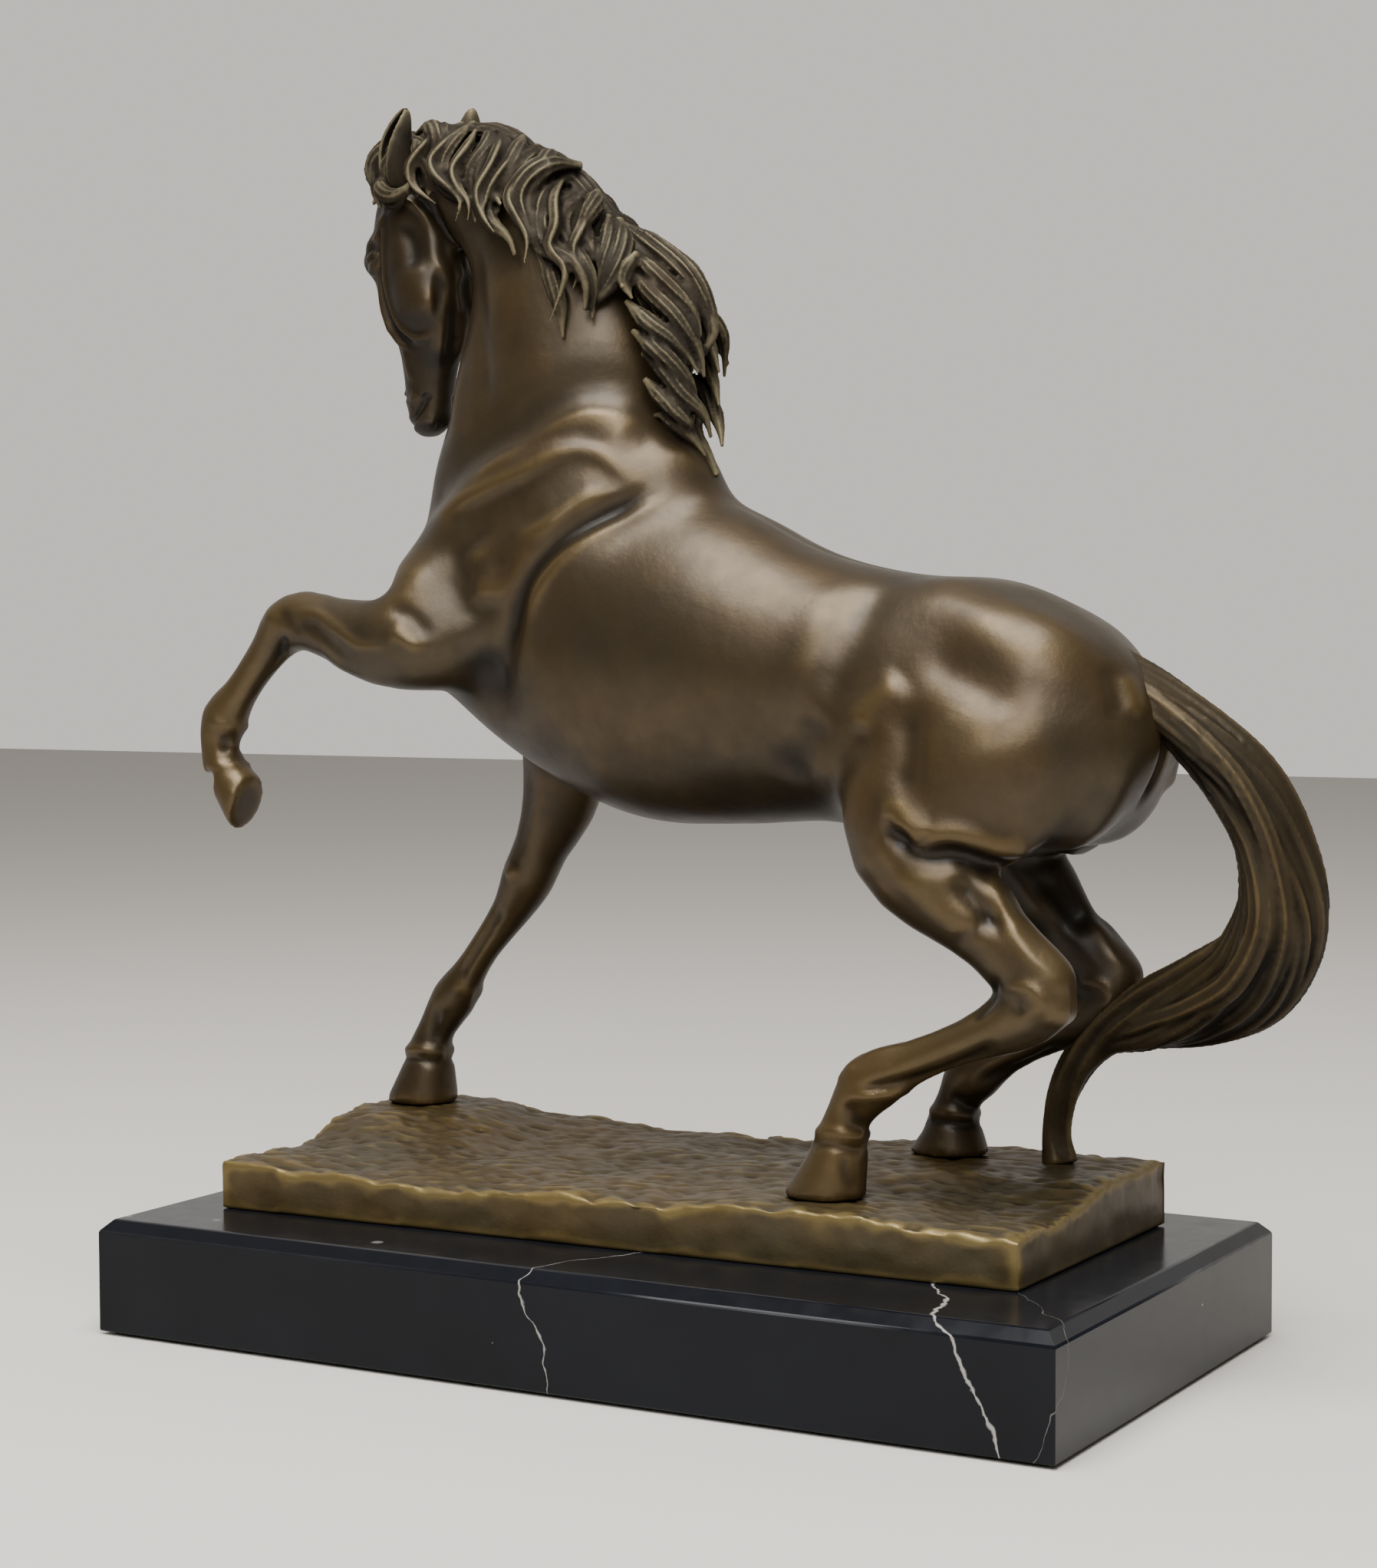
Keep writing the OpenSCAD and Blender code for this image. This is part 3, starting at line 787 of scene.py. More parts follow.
NEAR, FAR, BOTH = Side.NEAR, Side.FAR, Side.BOTH
BARREL = ("trunk", "neck", "left_foreleg", "right_foreleg")
RUMP = ("trunk", "hindquarters", "left_hind_leg", "right_hind_leg")
NEAR_FORE, FAR_FORE = ("left_foreleg",), ("right_foreleg",)
NEAR_HIND, FAR_HIND = ("left_hind_leg",), ("right_hind_leg",)
BODY_MARKS = (
    # the shoulder's edge against the neck
    Mark(((-72, 172), (-62, 183), (-50, 191), (-40, 196), (-29, 202), (-20, 205), (-11, 203), (-3, 195)),
         5.5, -1.7, step=True, fade=0.12),
    Mark(((-58, 184), (-40, 194), (-29, 200), (-20, 203), (-8, 200)), 1.8, 0.5, fade=0.2),
    # the second ridge of the blade, the plateau under it and its lower edge
    Mark(((-66, 174), (-56, 180), (-38, 187), (-27, 192), (-18, 192), (-2, 182)), 2.6, 1.1, fade=0.2),
    Mark(((-46, 192), (-30, 197), (-12, 196)), 3.5, -0.8),
    Mark(((-36, 174), (-24, 181), (-12, 184)), 6, 0.9),
    Mark(((-42, 170), (-30, 172), (-20, 179), (-8, 183)), 2.2, 0.8),
    # the groove between shoulder and barrel
    Mark(((1, 184), (-7, 178), (-16, 173), (-26, 166), (-34, 157), (-39, 145), (-42, 132)), 3.4, -2.3,
         fade=0.2),
    Mark(((4, 181), (-10, 173), (-22, 165), (-30, 156), (-35, 145)), 2.4, 1.2, fade=0.25),
    Mark(((-60, 172),), 13, 3.0, long=1.25, turn=45),
    Mark(((-70, 160),), 10, 2.2),
    # upper arm, and the hollow behind the elbow
    Mark(((-53, 169), (-48, 160), (-46, 150)), 5.5, 2.0),
    Mark(((-47, 131),), 7, -4.0, long=1.3, turn=80, on=BARREL, side=NEAR),
    Mark(((-43, 128),), 6, -3.0, long=1.2, turn=80, on=BARREL, side=FAR),
    Mark(((-64, 173), (-54, 163), (-42, 163), (-34, 166)), 3.5, -0.7),
    Mark(((-74, 152), (-66, 149), (-60, 142)), 2.2, -0.8, on=BARREL, side=NEAR),
    Mark(((-72, 146), (-62, 139)), 2.0, 0.9, on=BARREL, side=NEAR),
    # cords of the neck
    Mark(((-78, 262), (-72, 240), (-68, 215), (-66, 192)), 3.5, 1.3),
    Mark(((-66, 262), (-60, 235), (-55, 212), (-50, 198)), 4.5, -1.3),
    Mark(((-52, 250), (-42, 225), (-34, 208)), 8, 0.7),
    # barrel, with the last rib's edge and the hollow flank
    Mark(((18, 146),), 26, 1.8, long=1.5, turn=-3),
    Mark(((52, 161), (52, 150), (50, 138), (44, 128)), 6, 0.7, on=("trunk", "hindquarters")),
    Mark(((61, 160), (62, 148), (60, 134), (54, 122)), 7, -1.5, on=RUMP),
    Mark(((46, 100), (54, 110), (62, 120), (73, 134)), 5.5, 1.2, on=RUMP),
    Mark(((42, 104), (49, 114), (56, 126)), 7, -1.3, on=RUMP),
    Mark(((-30, 112), (-5, 102), (25, 99)), 7, 0.8),
    # croup and thigh
    Mark(((63, 152), (80, 154), (98, 145), (110, 137), (124, 128)), 8, 2.0, on=RUMP),
    Mark(((80, 140), (96, 132), (112, 124)), 5, -1.2, on=RUMP),
    Mark(((104, 116),), 11, 1.6, long=1.3, on=RUMP),
    Mark(((127, 118), (123, 104)), 9, 3.0, on=("hindquarters",), side=FAR),
    Mark(((66, 118), (72, 127), (78, 134)), 5, 1.6, on=RUMP),
    Mark(((80, 128), (82, 114), (80, 102)), 5, -1.6, on=RUMP),
    Mark(((66, 106),), 8, 1.4, long=1.3, turn=60, on=RUMP),
    Mark(((128, 136), (131, 129), (133, 122)), 1.6, 1.2, on=RUMP),
    Mark(((125, 138), (128, 129), (130, 121)), 2.0, -0.8, on=RUMP),
    # stifle, gaskin and the great tendon, on the outer faces
    Mark(((74, 98), (80, 97), (87, 92), (95, 92), (105, 89), (113, 89)), 2.8, 1.5, step=True, fade=0.15,
         side=NEAR, on=NEAR_HIND + ("hindquarters",)),
    Mark(((78, 95), (82, 97), (87, 91)), 1.3, 0.8, side=NEAR, on=NEAR_HIND),
    Mark(((82, 93),), 1.8, -1.1, side=NEAR, on=NEAR_HIND),
    Mark(((86, 93), (90, 95)), 1.0, -0.8, side=NEAR, on=NEAR_HIND),
    Mark(((106, 92), (104, 83), (107, 74), (114, 65), (122, 61)), 1.8, 0.9, on=NEAR_HIND),
    Mark(((94, 86), (100, 78), (108, 70)), 3.0, -1.8, on=NEAR_HIND),
    Mark(((80, 88), (90, 76), (102, 68)), 5, 1.0, on=NEAR_HIND),
    Mark(((92, 66), (100, 72), (104, 78)), 2.0, -0.7, on=NEAR_HIND),
    # hock
    Mark(((105, 61), (102, 54), (96, 48)), 1.8, -1.1, on=NEAR_HIND),
    Mark(((106, 57), (113, 58), (117, 54), (113, 50)), 1.3, 0.8, on=NEAR_HIND),
    Mark(((111, 53),), 1.6, -0.9, on=NEAR_HIND),
    Mark(((119, 62), (123, 57), (121, 51), (115, 48)), 1.8, 0.7, on=NEAR_HIND),
    # cannon and fetlock
    Mark(((63, 37), (75, 41), (87, 46), (99, 54)), 1.5, 0.6, on=NEAR_HIND, fade=0.15),
    Mark(((66, 29), (78, 32), (91, 36), (105, 44)), 1.6, -1.2, on=NEAR_HIND, fade=0.15),
    Mark(((62, 26), (67, 28), (78, 29), (88, 32)), 1.3, 0.8, on=NEAR_HIND),
    Mark(((59, 30), (62, 34), (66, 35)), 1.8, 0.7, on=NEAR_HIND),
    Mark(((64, 27), (65, 22), (66, 17)), 2.0, -0.9, on=NEAR_HIND),
    Mark(((52, 17.5), (59, 18.5), (68, 16.5)), 1.2, 0.7, on=NEAR_HIND, fade=0.1),
    Mark(((52, 14.5), (59, 15), (68, 13.5)), 0.9, -0.6, on=NEAR_HIND, fade=0.1),
    Mark(((62, 14), (64, 6), (66, 1)), 1.0, -0.6, on=NEAR_HIND),
    # the far hind leg's match of them
    Mark(((104, 88), (104, 79), (106, 70), (112, 60), (119, 56)), 1.8, 0.9, on=FAR_HIND),
    Mark(((92, 82), (99, 73), (106, 65)), 3.0, -1.4, on=FAR_HIND),
    Mark(((80, 90), (90, 76), (98, 66)), 5, 0.9, on=FAR_HIND),
    Mark(((101, 56), (98, 49), (93, 43)), 1.8, -1.0, on=FAR_HIND),
    Mark(((102, 52), (109, 53), (112, 49), (108, 45)), 1.3, 0.7, on=FAR_HIND),
    Mark(((72, 24), (80, 27), (90, 31), (100, 38)), 1.6, -1.0, on=FAR_HIND),
    Mark(((58, 15.5), (65, 16), (73, 14.5)), 1.2, 0.7, on=FAR_HIND, fade=0.1),
    Mark(((57, 12.5), (65, 13), (74, 11.5)), 0.9, -0.6, on=FAR_HIND, fade=0.1),
    Mark(((66, 21), (70, 18), (72, 15)), 1.5, -0.7, on=FAR_HIND),
    # the raised foreleg
    Mark(((-108, 150), (-99, 150), (-90, 146), (-80, 141), (-70, 142)), 1.6, 0.7, on=NEAR_FORE),
    Mark(((-106, 147), (-98, 146), (-90, 141), (-82, 136)), 2.2, -0.8, on=NEAR_FORE),
    Mark(((-98, 138), (-86, 131), (-74, 128)), 4, 0.8, on=NEAR_FORE),
    Mark(((-112, 151), (-107, 148), (-103, 143)), 1.6, -0.6, on=NEAR_FORE),
    Mark(((-115, 149),), 2.4, 0.8, on=NEAR_FORE),
    Mark(((-109, 145), (-114, 138), (-120, 131), (-125, 125)), 1.3, -1.1, on=NEAR_FORE, fade=0.15),
    Mark(((-106, 143), (-111, 136), (-118, 129), (-123, 122)), 1.0, 0.5, on=NEAR_FORE),
    Mark(((-139, 121), (-132, 118), (-125, 117)), 1.2, 0.6, on=NEAR_FORE),
    Mark(((-134, 116), (-133, 110)), 1.4, -0.9, on=NEAR_FORE),
    Mark(((-137, 108), (-132, 107), (-127, 109)), 1.0, 0.7, on=NEAR_FORE),
    # the planted foreleg
    Mark(((-57, 112), (-64, 92), (-72, 76)), 3, -0.8, on=FAR_FORE),
    Mark(((-68, 78), (-72, 74)), 2.5, 0.8, on=FAR_FORE),
    Mark(((-74, 66), (-84, 53), (-91, 43)), 1.3, -0.9, on=FAR_FORE, fade=0.15),
    Mark(((-92, 44), (-88, 38), (-87, 34)), 2.0, 0.7, on=FAR_FORE),
    Mark(((-98, 36), (-99, 28), (-101, 22)), 1.5, -0.7, on=FAR_FORE),
    Mark(((-112, 21), (-105, 22), (-97, 20.5)), 1.3, 0.8, on=FAR_FORE, fade=0.1),
    Mark(((-113, 18), (-105, 19), (-96, 17.5)), 0.9, -0.6, on=FAR_FORE, fade=0.1),
    # breast and seat, from the ends
    Mark(((6, 178), (6, 160), (6, 146)), 2.2, -1.4, side=NEAR, view=View.END, on=("trunk", "neck")),
    Mark(((6, 128), (6, 112), (6, 98)), 2.0, -2.2, side=FAR, view=View.END, on=("hindquarters", "trunk")),
    # the back's furrow
    Mark(((0, 6), (40, 6), (80, 6), (112, 6)), 2.5, -0.5, side=FAR, view=View.TOP,
         on=("trunk", "hindquarters")),
)
HEAD_MARKS = (
    # eye, its lids and brow
    Mark(((13.5, 249),), 4.2, -1.5, long=1.3, turn=-30),
    Mark(((13.0, 248.6),), 2.0, 1.9, long=1.25, turn=-30),
    Mark(((9.5, 250.5), (12.5, 251.8), (16.5, 249.5)), 0.8, 0.8, fade=0.2),
    Mark(((9.8, 248.5), (12.8, 246.4), (16, 247.2)), 0.7, 0.6, fade=0.2),
    Mark(((8, 254), (13, 256), (18, 252)), 2.2, 1.3),
    Mark(((4, 262), (8, 266), (14, 262)), 3, -0.8),
    # cheek and its edge, the facial crest and the veins
    Mark(((6, 264), (9.5, 256), (10, 246), (9.5, 236), (6, 228), (-1, 224)), 1.1, 1.3, fade=0.12),
    Mark(((4, 266), (-3, 265), (-8, 258), (-10, 248), (-13, 240)), 1.2, 1.1, fade=0.15),
    Mark(((1, 260), (-4, 254), (-6, 244)), 2.4, -1.1),
    Mark(((-1, 243),), 8, 1.3, long=1.4, turn=70),
    Mark(((6.5, 262), (7, 250), (6, 240), (3, 232), (-4, 227), (-10, 229)), 1.3, 0.9, fade=0.15),
    Mark(((8.5, 262), (9, 250), (8, 240), (4, 229), (-4, 224.5)), 1.6, -0.9, fade=0.15),
    Mark(((9, 243), (8.5, 234), (8, 226)), 1.2, 0.8),
    Mark(((-9, 268), (-10, 256), (-12, 246)), 1.4, -0.7),
    Mark(((3, 226), (2, 219), (0, 214)), 0.9, 0.6),
    Mark(((11, 236), (10, 226), (9, 218)), 2.2, -0.7),
    # the rear of the jaw, close to the throat
    Mark(((-12, 243), (-11, 230), (-8, 218)), 4, 1.5),
    # nostril, lips and chin
    Mark(((7.8, 208.6),), 1.9, -1.9, long=1.5, turn=60),
    Mark(((6.4, 211.5), (8.3, 212.4), (9.9, 210.5), (9.6, 207)), 0.8, 0.8, fade=0.15),
    Mark(((5.9, 211), (5.6, 207.5), (7.4, 205)), 0.7, 0.6, fade=0.15),
    Mark(((7.5, 202.5), (3, 204), (-1, 206.5), (-3.5, 210)), 0.8, -1.1, fade=0.12),
    Mark(((-2.5, 211.5), (-4.5, 209.5)), 1.2, -0.7),
    Mark(((-4, 203.5),), 2.2, 0.8),
    Mark(((2, 209), (-1, 212)), 1.6, 0.5),
)


# ---------------------------------------------------------------- hair and ears

def sweep(bm: bmesh.types.BMesh, path: np.ndarray, ups: np.ndarray,
          outline: Callable[[float], np.ndarray]) -> None:
    """Draw a closed tube along a path by extruding a ring of edges from station to station.

    Args:
        bm: the mesh that takes the tube.
        path: stations in metres.
        ups: the way that the outline's second axis looks at each station.
        outline: gives the ring's points, in metres across and up, at a share of the path.
    """
    tube = bmesh.new()
    rows = len(path)
    ways = np.gradient(path, axis=0)
    ring: list[bmesh.types.BMVert] = []
    edges: list[bmesh.types.BMEdge] = []
    for i in range(rows):
        way = ways[i] / max(np.linalg.norm(ways[i]), 1e-12)
        across = np.cross(way, ups[i])
        across /= max(np.linalg.norm(across), 1e-12)
        up = np.cross(across, way)
        spots = outline(i / (rows - 1))
        if i == 0:
            ring = bmesh.ops.create_circle(tube, segments=len(spots), radius=MM)["verts"]
            edges = list({e for v in ring for e in v.link_edges})
            first = edges
        else:
            made = bmesh.ops.extrude_edge_only(tube, edges=edges)["geom"]
            fresh = {g for g in made if isinstance(g, bmesh.types.BMVert)}
            ring = [next(e.other_vert(v) for e in v.link_edges if e.other_vert(v) in fresh) for v in ring]
            edges = [g for g in made if isinstance(g, bmesh.types.BMEdge)
                     and g.verts[0] in fresh and g.verts[1] in fresh]
        for v, (a, b) in zip(ring, spots):
            v.co = path[i] + across * a + up * b
    bmesh.ops.holes_fill(tube, edges=first + edges, sides=0)
    bmesh.ops.recalc_face_normals(tube, faces=tube.faces)
    made = bpy.data.meshes.new("tube")
    tube.to_mesh(made)
    tube.free()
    bm.from_mesh(made)
    bpy.data.meshes.remove(made)


def hair_outline(width: float, thick: float, ridges: int, groove: float, tip: float = 0.22,
                 root: float = 0.35, sides: int = 40) -> Callable[[float], np.ndarray]:
    """Make the outline of a lock: a flat oval with grooves, thin at the tip.

    Args:
        width: half width in millimetres.
        thick: half thickness in millimetres.
        ridges: number of ridges round the lock.
        groove: depth of the grooves as a share of the radius.
        tip: the tip's share of the width.
        root: the root's share of the width.
        sides: points in the ring.

    Returns:
        A function of the share along the lock.
    """
    angle = np.linspace(0, 2 * math.pi, sides, endpoint=False)

    def outline(t: float) -> np.ndarray:
        """Give the ring at a share of the lock."""
        full = root + (1 - root) * smoothstep(0, 0.3, t)
        full *= 1 - (1 - tip) * smoothstep(0.45, 1.0, t) ** 1.2
        turn = angle + 0.9 * t
        swell = (1 - groove * (0.5 + 0.5 * np.cos(ridges * turn))) * full * MM
        return np.stack([width * np.cos(angle) * swell, thick * np.sin(angle) * swell], axis=1)
    return outline


@dataclass(frozen=True)
class Lock:
    """One lock of hair.

    Attributes:
        stations: the places that it passes in figure millimetres, root first.
        width: half width of its section in millimetres.
        thick: half its thickness in millimetres.
        lift: how far it lies over the skin in millimetres.
        ridges: how many ridges run round it.
        fuller: how much fuller the cast lock is than its stated size.
    """

    stations: tuple[tuple[float, float, float], ...]
    width: float = 2.6
    thick: float = 1.8
    lift: float = 1.2
    ridges: int = 9
    fuller: float = 1.3


@dataclass
class Mane:
    """Locks of the mane and the forelock, laid on the neck and fused as cast.

    Attributes:
        surface: the skin that the locks lie on.
        voxel: size of the cast hair's cells in millimetres.
        sunk: how deep a lock's root starts under the skin, in millimetres.
        groove: depth of the grooves between a lock's ridges, as a share of its radius.
        pieces: the finished castings.
    """

    surface: BVHTree
    voxel: float = 0.47
    sunk: float = 1.6
    groove: float = 0.3
    pieces: list[bpy.types.Object] = field(default_factory=list)

    def lay(self, bm: bmesh.types.BMesh, lock: Lock) -> None:
        """Lay one lock on the skin and add it to the mesh."""
        flat = curve_through(lock.stations, 1.6)
        path, ups = [], []
        rise = smoothstep(0.0, 0.22, np.linspace(0, 1, len(flat)))
        for (x, y, z), up in zip(flat, rise):
            spot = PLACE.world((x, y, z))
            hit, normal, _, away = self.surface.find_nearest(spot)
            outward = (spot - hit).normalized() if away > 1e-6 else normal
            inside = outward.dot(normal) < 0
            lift = (lock.lift * up - self.sunk * (1 - up)) * MM
            if inside or away < max(lift, 2 * MM * (1 - up)):
                spot = hit + normal * lift
            path.append(np.array(spot))
            ups.append(np.array(normal if inside or away < 5 * MM
                                else normal.lerp(outward, 0.5)))
        path = np.array(path)
        line = np.stack([np.arange(len(path) - 1), np.arange(1, len(path))], axis=1)
        inner = np.ones((len(path), 1))
        inner[0] = inner[-1] = 0
        path = relax(path, line, 3, 0.5 * inner)
        ups = relax(np.array(ups), line, 3)
        sweep(bm, path, ups, hair_outline(lock.width * lock.fuller, lock.thick * lock.fuller,
                                          lock.ridges, self.groove))

    def cast(self, name: str, node: str, locks: Iterable[Lock]) -> None:
        """Lay locks, fuse them into one casting and register it.

        Args:
            name: the piece's name.
            node: the CAD node that it stands for.
            locks: the locks.
        """
        bm = bmesh.new()
        for lock in locks:
            self.lay(bm, lock)
        made = fused_all(bm, name, self.voxel)
        ease(made, 2, 0.45)
        note_cavity_and_shade(made.data, 5, 24, 0.45)
        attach(made, ROOT)
        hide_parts(node)
        self.pieces.append(made)
        LOG.info("%s: %d faces", name, len(made.data.polygons))

    def build(self) -> None:
        """Lay the upper mane, the lower mane and the forelock."""
        self.cast("upper_mane_bronze", "upper_mane",
                  list(UPPER_LOCKS) + self.far_side() + self.under_side())
        self.cast("lower_mane_bronze", "lower_mane", LOWER_LOCKS)
        self.cast("forelock_bronze", "forelock", FORELOCK)

    def under_side(self) -> list[Lock]:
        """Broad locks close to the skin that fill between the near side's locks."""
        crest = curve_through(CREST[:7], 5.0)
        return [Lock(((x, 6, z - 1), (x + 1, 0, z - 6), (x + 3, -4, z - 11), (x + 6, -7, z - 17)),
                     3.4, 1.8, 0.8, 13) for x, z in crest]

    def far_side(self) -> list[Lock]:
        """Short waved locks that fall over the crest on the far side."""
        crest = curve_through(CREST[:9], 5.5)
        made = []
        for i, (x, z) in enumerate(crest):
            sway = 3.5 * math.sin(2.4 * i)
            long = 20 + 5 * math.sin(1.7 * i + 1)
            made.append(Lock(((x, 6, z - 1), (x + 2 + sway * 0.3, 13, z - 4),
                              (x + 4 - sway * 0.5, 19, z - long / 2), (x + 8 + sway, 22, z - long)),
                             2.8, 1.9))
        return made

    def dress(self, finish: PatinatedBronze) -> None:
        """Give every piece its finish."""
        cover(self.pieces, finish.build())


# the crest of the neck from the poll back, as x and height
CREST = ((-85, 282), (-77, 282), (-66, 282), (-55, 280), (-45, 275), (-33, 266), (-19, 253), (-11, 244),
         (-3, 237), (4, 229), (6, 222))
UPPER_LOCKS = (
    # along the crest, from the poll back
    Lock(((-84, 8, 281), (-70, 7, 283), (-56, 6, 281), (-44, 6, 274)), 4.2, 2.8, ridges=13),
    Lock(((-52, 6, 279), (-40, 5, 271), (-28, 5, 261), (-17, 6, 250)), 4.6, 3.0, ridges=13),
    # the tuft beside the ear
    Lock(((-86, 3, 284), (-78, -2, 285), (-74, -4, 278), (-76, -5, 270), (-70, -7, 265),
          (-64, -8, 260)), 2.6),
    Lock(((-86, 2, 282), (-80, -4, 277), (-76, -5, 271), (-70, -7, 266)), 2.2),
    Lock(((-82, 5, 285), (-75, 0, 284), (-71, -5, 276), (-72, -6, 269), (-67, -8, 262)), 2.4),
    # over the cheek
    Lock(((-68, 5, 286), (-70, -3, 280), (-72, -6, 273), (-68, -8, 267), (-61, -9, 263), (-57, -10, 261),
          (-55, -10, 254)), 2.8, 2.0),
    Lock(((-71, 4, 286), (-74, -2, 281), (-71, -6, 274), (-67, -8, 268)), 2.2),
    Lock(((-64, 5, 284), (-58, -3, 278), (-61, -7, 271), (-60, -9, 265), (-58, -10, 256)), 2.4),
    Lock(((-63, 4, 283), (-57, -3, 276), (-58, -8, 268), (-53, -10, 264), (-49, -11, 260)), 2.6),
    Lock(((-57, 4, 282), (-53, -3, 275), (-54, -8, 267), (-55, -10, 260), (-52, -11, 255), (-46, -12, 251),
          (-44, -12, 246)), 2.8, 2.2),
    Lock(((-52, 5, 281), (-49, -4, 274), (-50, -8, 266), (-51, -10, 258)), 2.4),
    Lock(((-47, 5, 278), (-47, -4, 271), (-48, -8, 264), (-46, -11, 257)), 2.8, 2.2),
    # the great arch and the fan that falls from it
    Lock(((-32, 3, 271), (-37, -4, 271), (-42, -8, 267), (-44, -10, 261), (-40, -12, 254), (-36, -13, 248),
          (-34, -13, 241)), 3.4, 2.9, 1.8),
    Lock(((-42, 4, 276), (-38, -5, 272), (-40, -8, 266), (-41, -10, 258)), 2.6),
    Lock(((-34, 2, 269), (-38, -6, 263), (-37, -10, 254), (-33, -12, 247), (-25, -13, 243), (-21, -13, 237),
          (-22, -12, 230)), 3.0, 2.4, 1.6),
    Lock(((-32, 2, 265), (-34, -6, 258), (-32, -10, 250), (-27, -12, 245)), 2.4),
    Lock(((-30, 2, 264), (-32, -6, 256), (-29, -9, 249), (-24, -11, 244), (-20, -11, 238), (-21, -10, 228)),
         2.4, 2.0, 1.8),
    Lock(((-27, 3, 264), (-24, -4, 259), (-25, -7, 254), (-23, -9, 249)), 2.4),
    Lock(((-35, -10, 247), (-33, -12, 240), (-30, -12, 233), (-29, -12, 223)), 2.2, 1.8),
    Lock(((-37, -11, 252), (-33, -12, 247), (-27, -12, 243)), 1.9, 1.6),
    Lock(((-20, 3, 256), (-16, -2, 248), (-16, -5, 241), (-18, -7, 236), (-22, -9, 231)), 3.0, 2.2, 1.6),
    Lock(((-23, 2, 257), (-19, -4, 249), (-19, -7, 242), (-20, -8, 235)), 2.4),
    Lock(((-25, -5, 254), (-24, -7, 250), (-22, -8, 246), (-20, -8, 242)), 1.7, 1.5),
    # narrow waved locks that hang proud of the rest
    Lock(((-80, 6, 286), (-77, -4, 280), (-81, -7, 274), (-80, -8, 268),
          (-71, -10, 262)), 1.4, 1.7, 4.6, 4),
    Lock(((-72, 3, 285), (-71, -5, 279), (-74, -7, 275), (-71, -10, 270), (-64, -12, 265), (-60, -14, 261),
          (-62, -14, 256)), 1.4, 1.7, 5.0, 4),
    Lock(((-66, 3, 284), (-64, -5, 277), (-66, -9, 271), (-62, -12, 265), (-58, -13, 261), (-58, -14, 256)),
         1.4, 1.6, 4.8, 4),
    Lock(((-58, 3, 282), (-54, -5, 276), (-54, -9, 270), (-56, -12, 264), (-53, -14, 257), (-48, -16, 252)),
         1.4, 1.7, 5.0, 4),
    Lock(((-50, 3, 279), (-50, -7, 271), (-53, -11, 264), (-53, -14, 258)), 1.4, 1.6, 4.6, 4),
    Lock(((-40, 3, 274), (-43, -7, 269), (-46, -12, 262), (-42, -14, 256), (-38, -15, 250),
          (-38, -17, 243)),
         1.5, 1.8, 5.2, 4),
    Lock(((-36, 2, 270), (-34, -8, 261), (-31, -12, 253), (-32, -14, 247), (-26, -15, 241), (-27, -16, 235),
          (-30, -17, 227)), 1.4, 1.7, 5.2, 4),
    Lock(((-28, 2, 262), (-25, -9, 252), (-26, -12, 246), (-23, -13, 241),
          (-25, -14, 235)), 1.4, 1.6, 4.6, 4),
)
LOWER_LOCKS = (
    # the smooth outer lock down the crest
    Lock(((-24, 6, 256), (-15, 5, 249), (-6, 5, 243), (1, 5, 237), (6, 5, 229), (8, 4, 223), (5, 3, 218)),
         3.6, 4.2, 0, 12),
    Lock(((-20, 6, 250), (-12, 5, 243), (-4, 6, 236), (2, 6, 228), (5, 5, 221)), 4.5, 5.5, 0, 13),
    Lock(((-18, 6, 243), (-11, 7, 235), (-5, 7, 226), (-1, 6, 216)), 4.5, 6, 0, 13),
    Lock(((-15, 6, 234), (-10, 7, 224), (-5, 7, 214), (-2, 6, 204)), 4.2, 6, 0, 13),
    Lock(((-10, 6, 222), (-7, 7, 212), (-3, 7, 202), (0, 6, 192), (4, 6, 184)), 3.6, 5, 0, 11),
    # tufts that lift off it
    Lock(((-15, 0, 247), (-9, -1, 242), (-2, 0, 236), (4, 1, 230), (6, 1, 223)), 2.6, 2.2, 1.6),
    Lock(((-14, -2, 242), (-7, -3, 235), (-1, -2, 230), (4, 0, 223), (6, 1, 218),
          (7, 1, 212)), 2.6, 2.2, 1.6),
    Lock(((-14, -4, 233), (-7, -5, 227), (-1, -3, 223), (4, -1, 217), (6, 0, 213)), 2.4, 2.0, 1.6),
    Lock(((-12, -4, 225), (-5, -5, 220), (0, -4, 216), (4, -1, 210), (5, 1, 204)), 2.4, 2.2, 1.6),
    Lock(((-9, -4, 219), (-2, -4, 214), (3, -2, 207), (7, 1, 202), (8, 3, 196)), 2.4, 2.2, 1.4),
    Lock(((-9, -3, 212), (-3, -4, 207), (2, -3, 202), (4, -1, 199), (0, 0, 195)), 2.4, 2.0, 1.4),
    Lock(((-6, -1, 204), (0, -2, 200), (4, 0, 196), (7, 2, 191)), 2.2, 1.8, 1.2),
    Lock(((-11, -3, 246), (-14, -5, 239), (-11, -6, 233)), 2.2, 1.6),
    # the far side's tufts
    Lock(((-15, 13, 246), (-8, 15, 240), (0, 13, 233), (5, 10, 226)), 2.6, 2.2, 1.6),
    Lock(((-13, 15, 237), (-6, 17, 229), (1, 15, 222), (6, 11, 214)), 2.6, 2.2, 1.6),
    Lock(((-11, 16, 227), (-4, 18, 219), (2, 15, 212), (6, 11, 205)), 2.5, 2.2, 1.6),
    Lock(((-8, 16, 216), (-1, 17, 208), (5, 13, 200), (8, 9, 194)), 2.4, 2.0, 1.6),
)
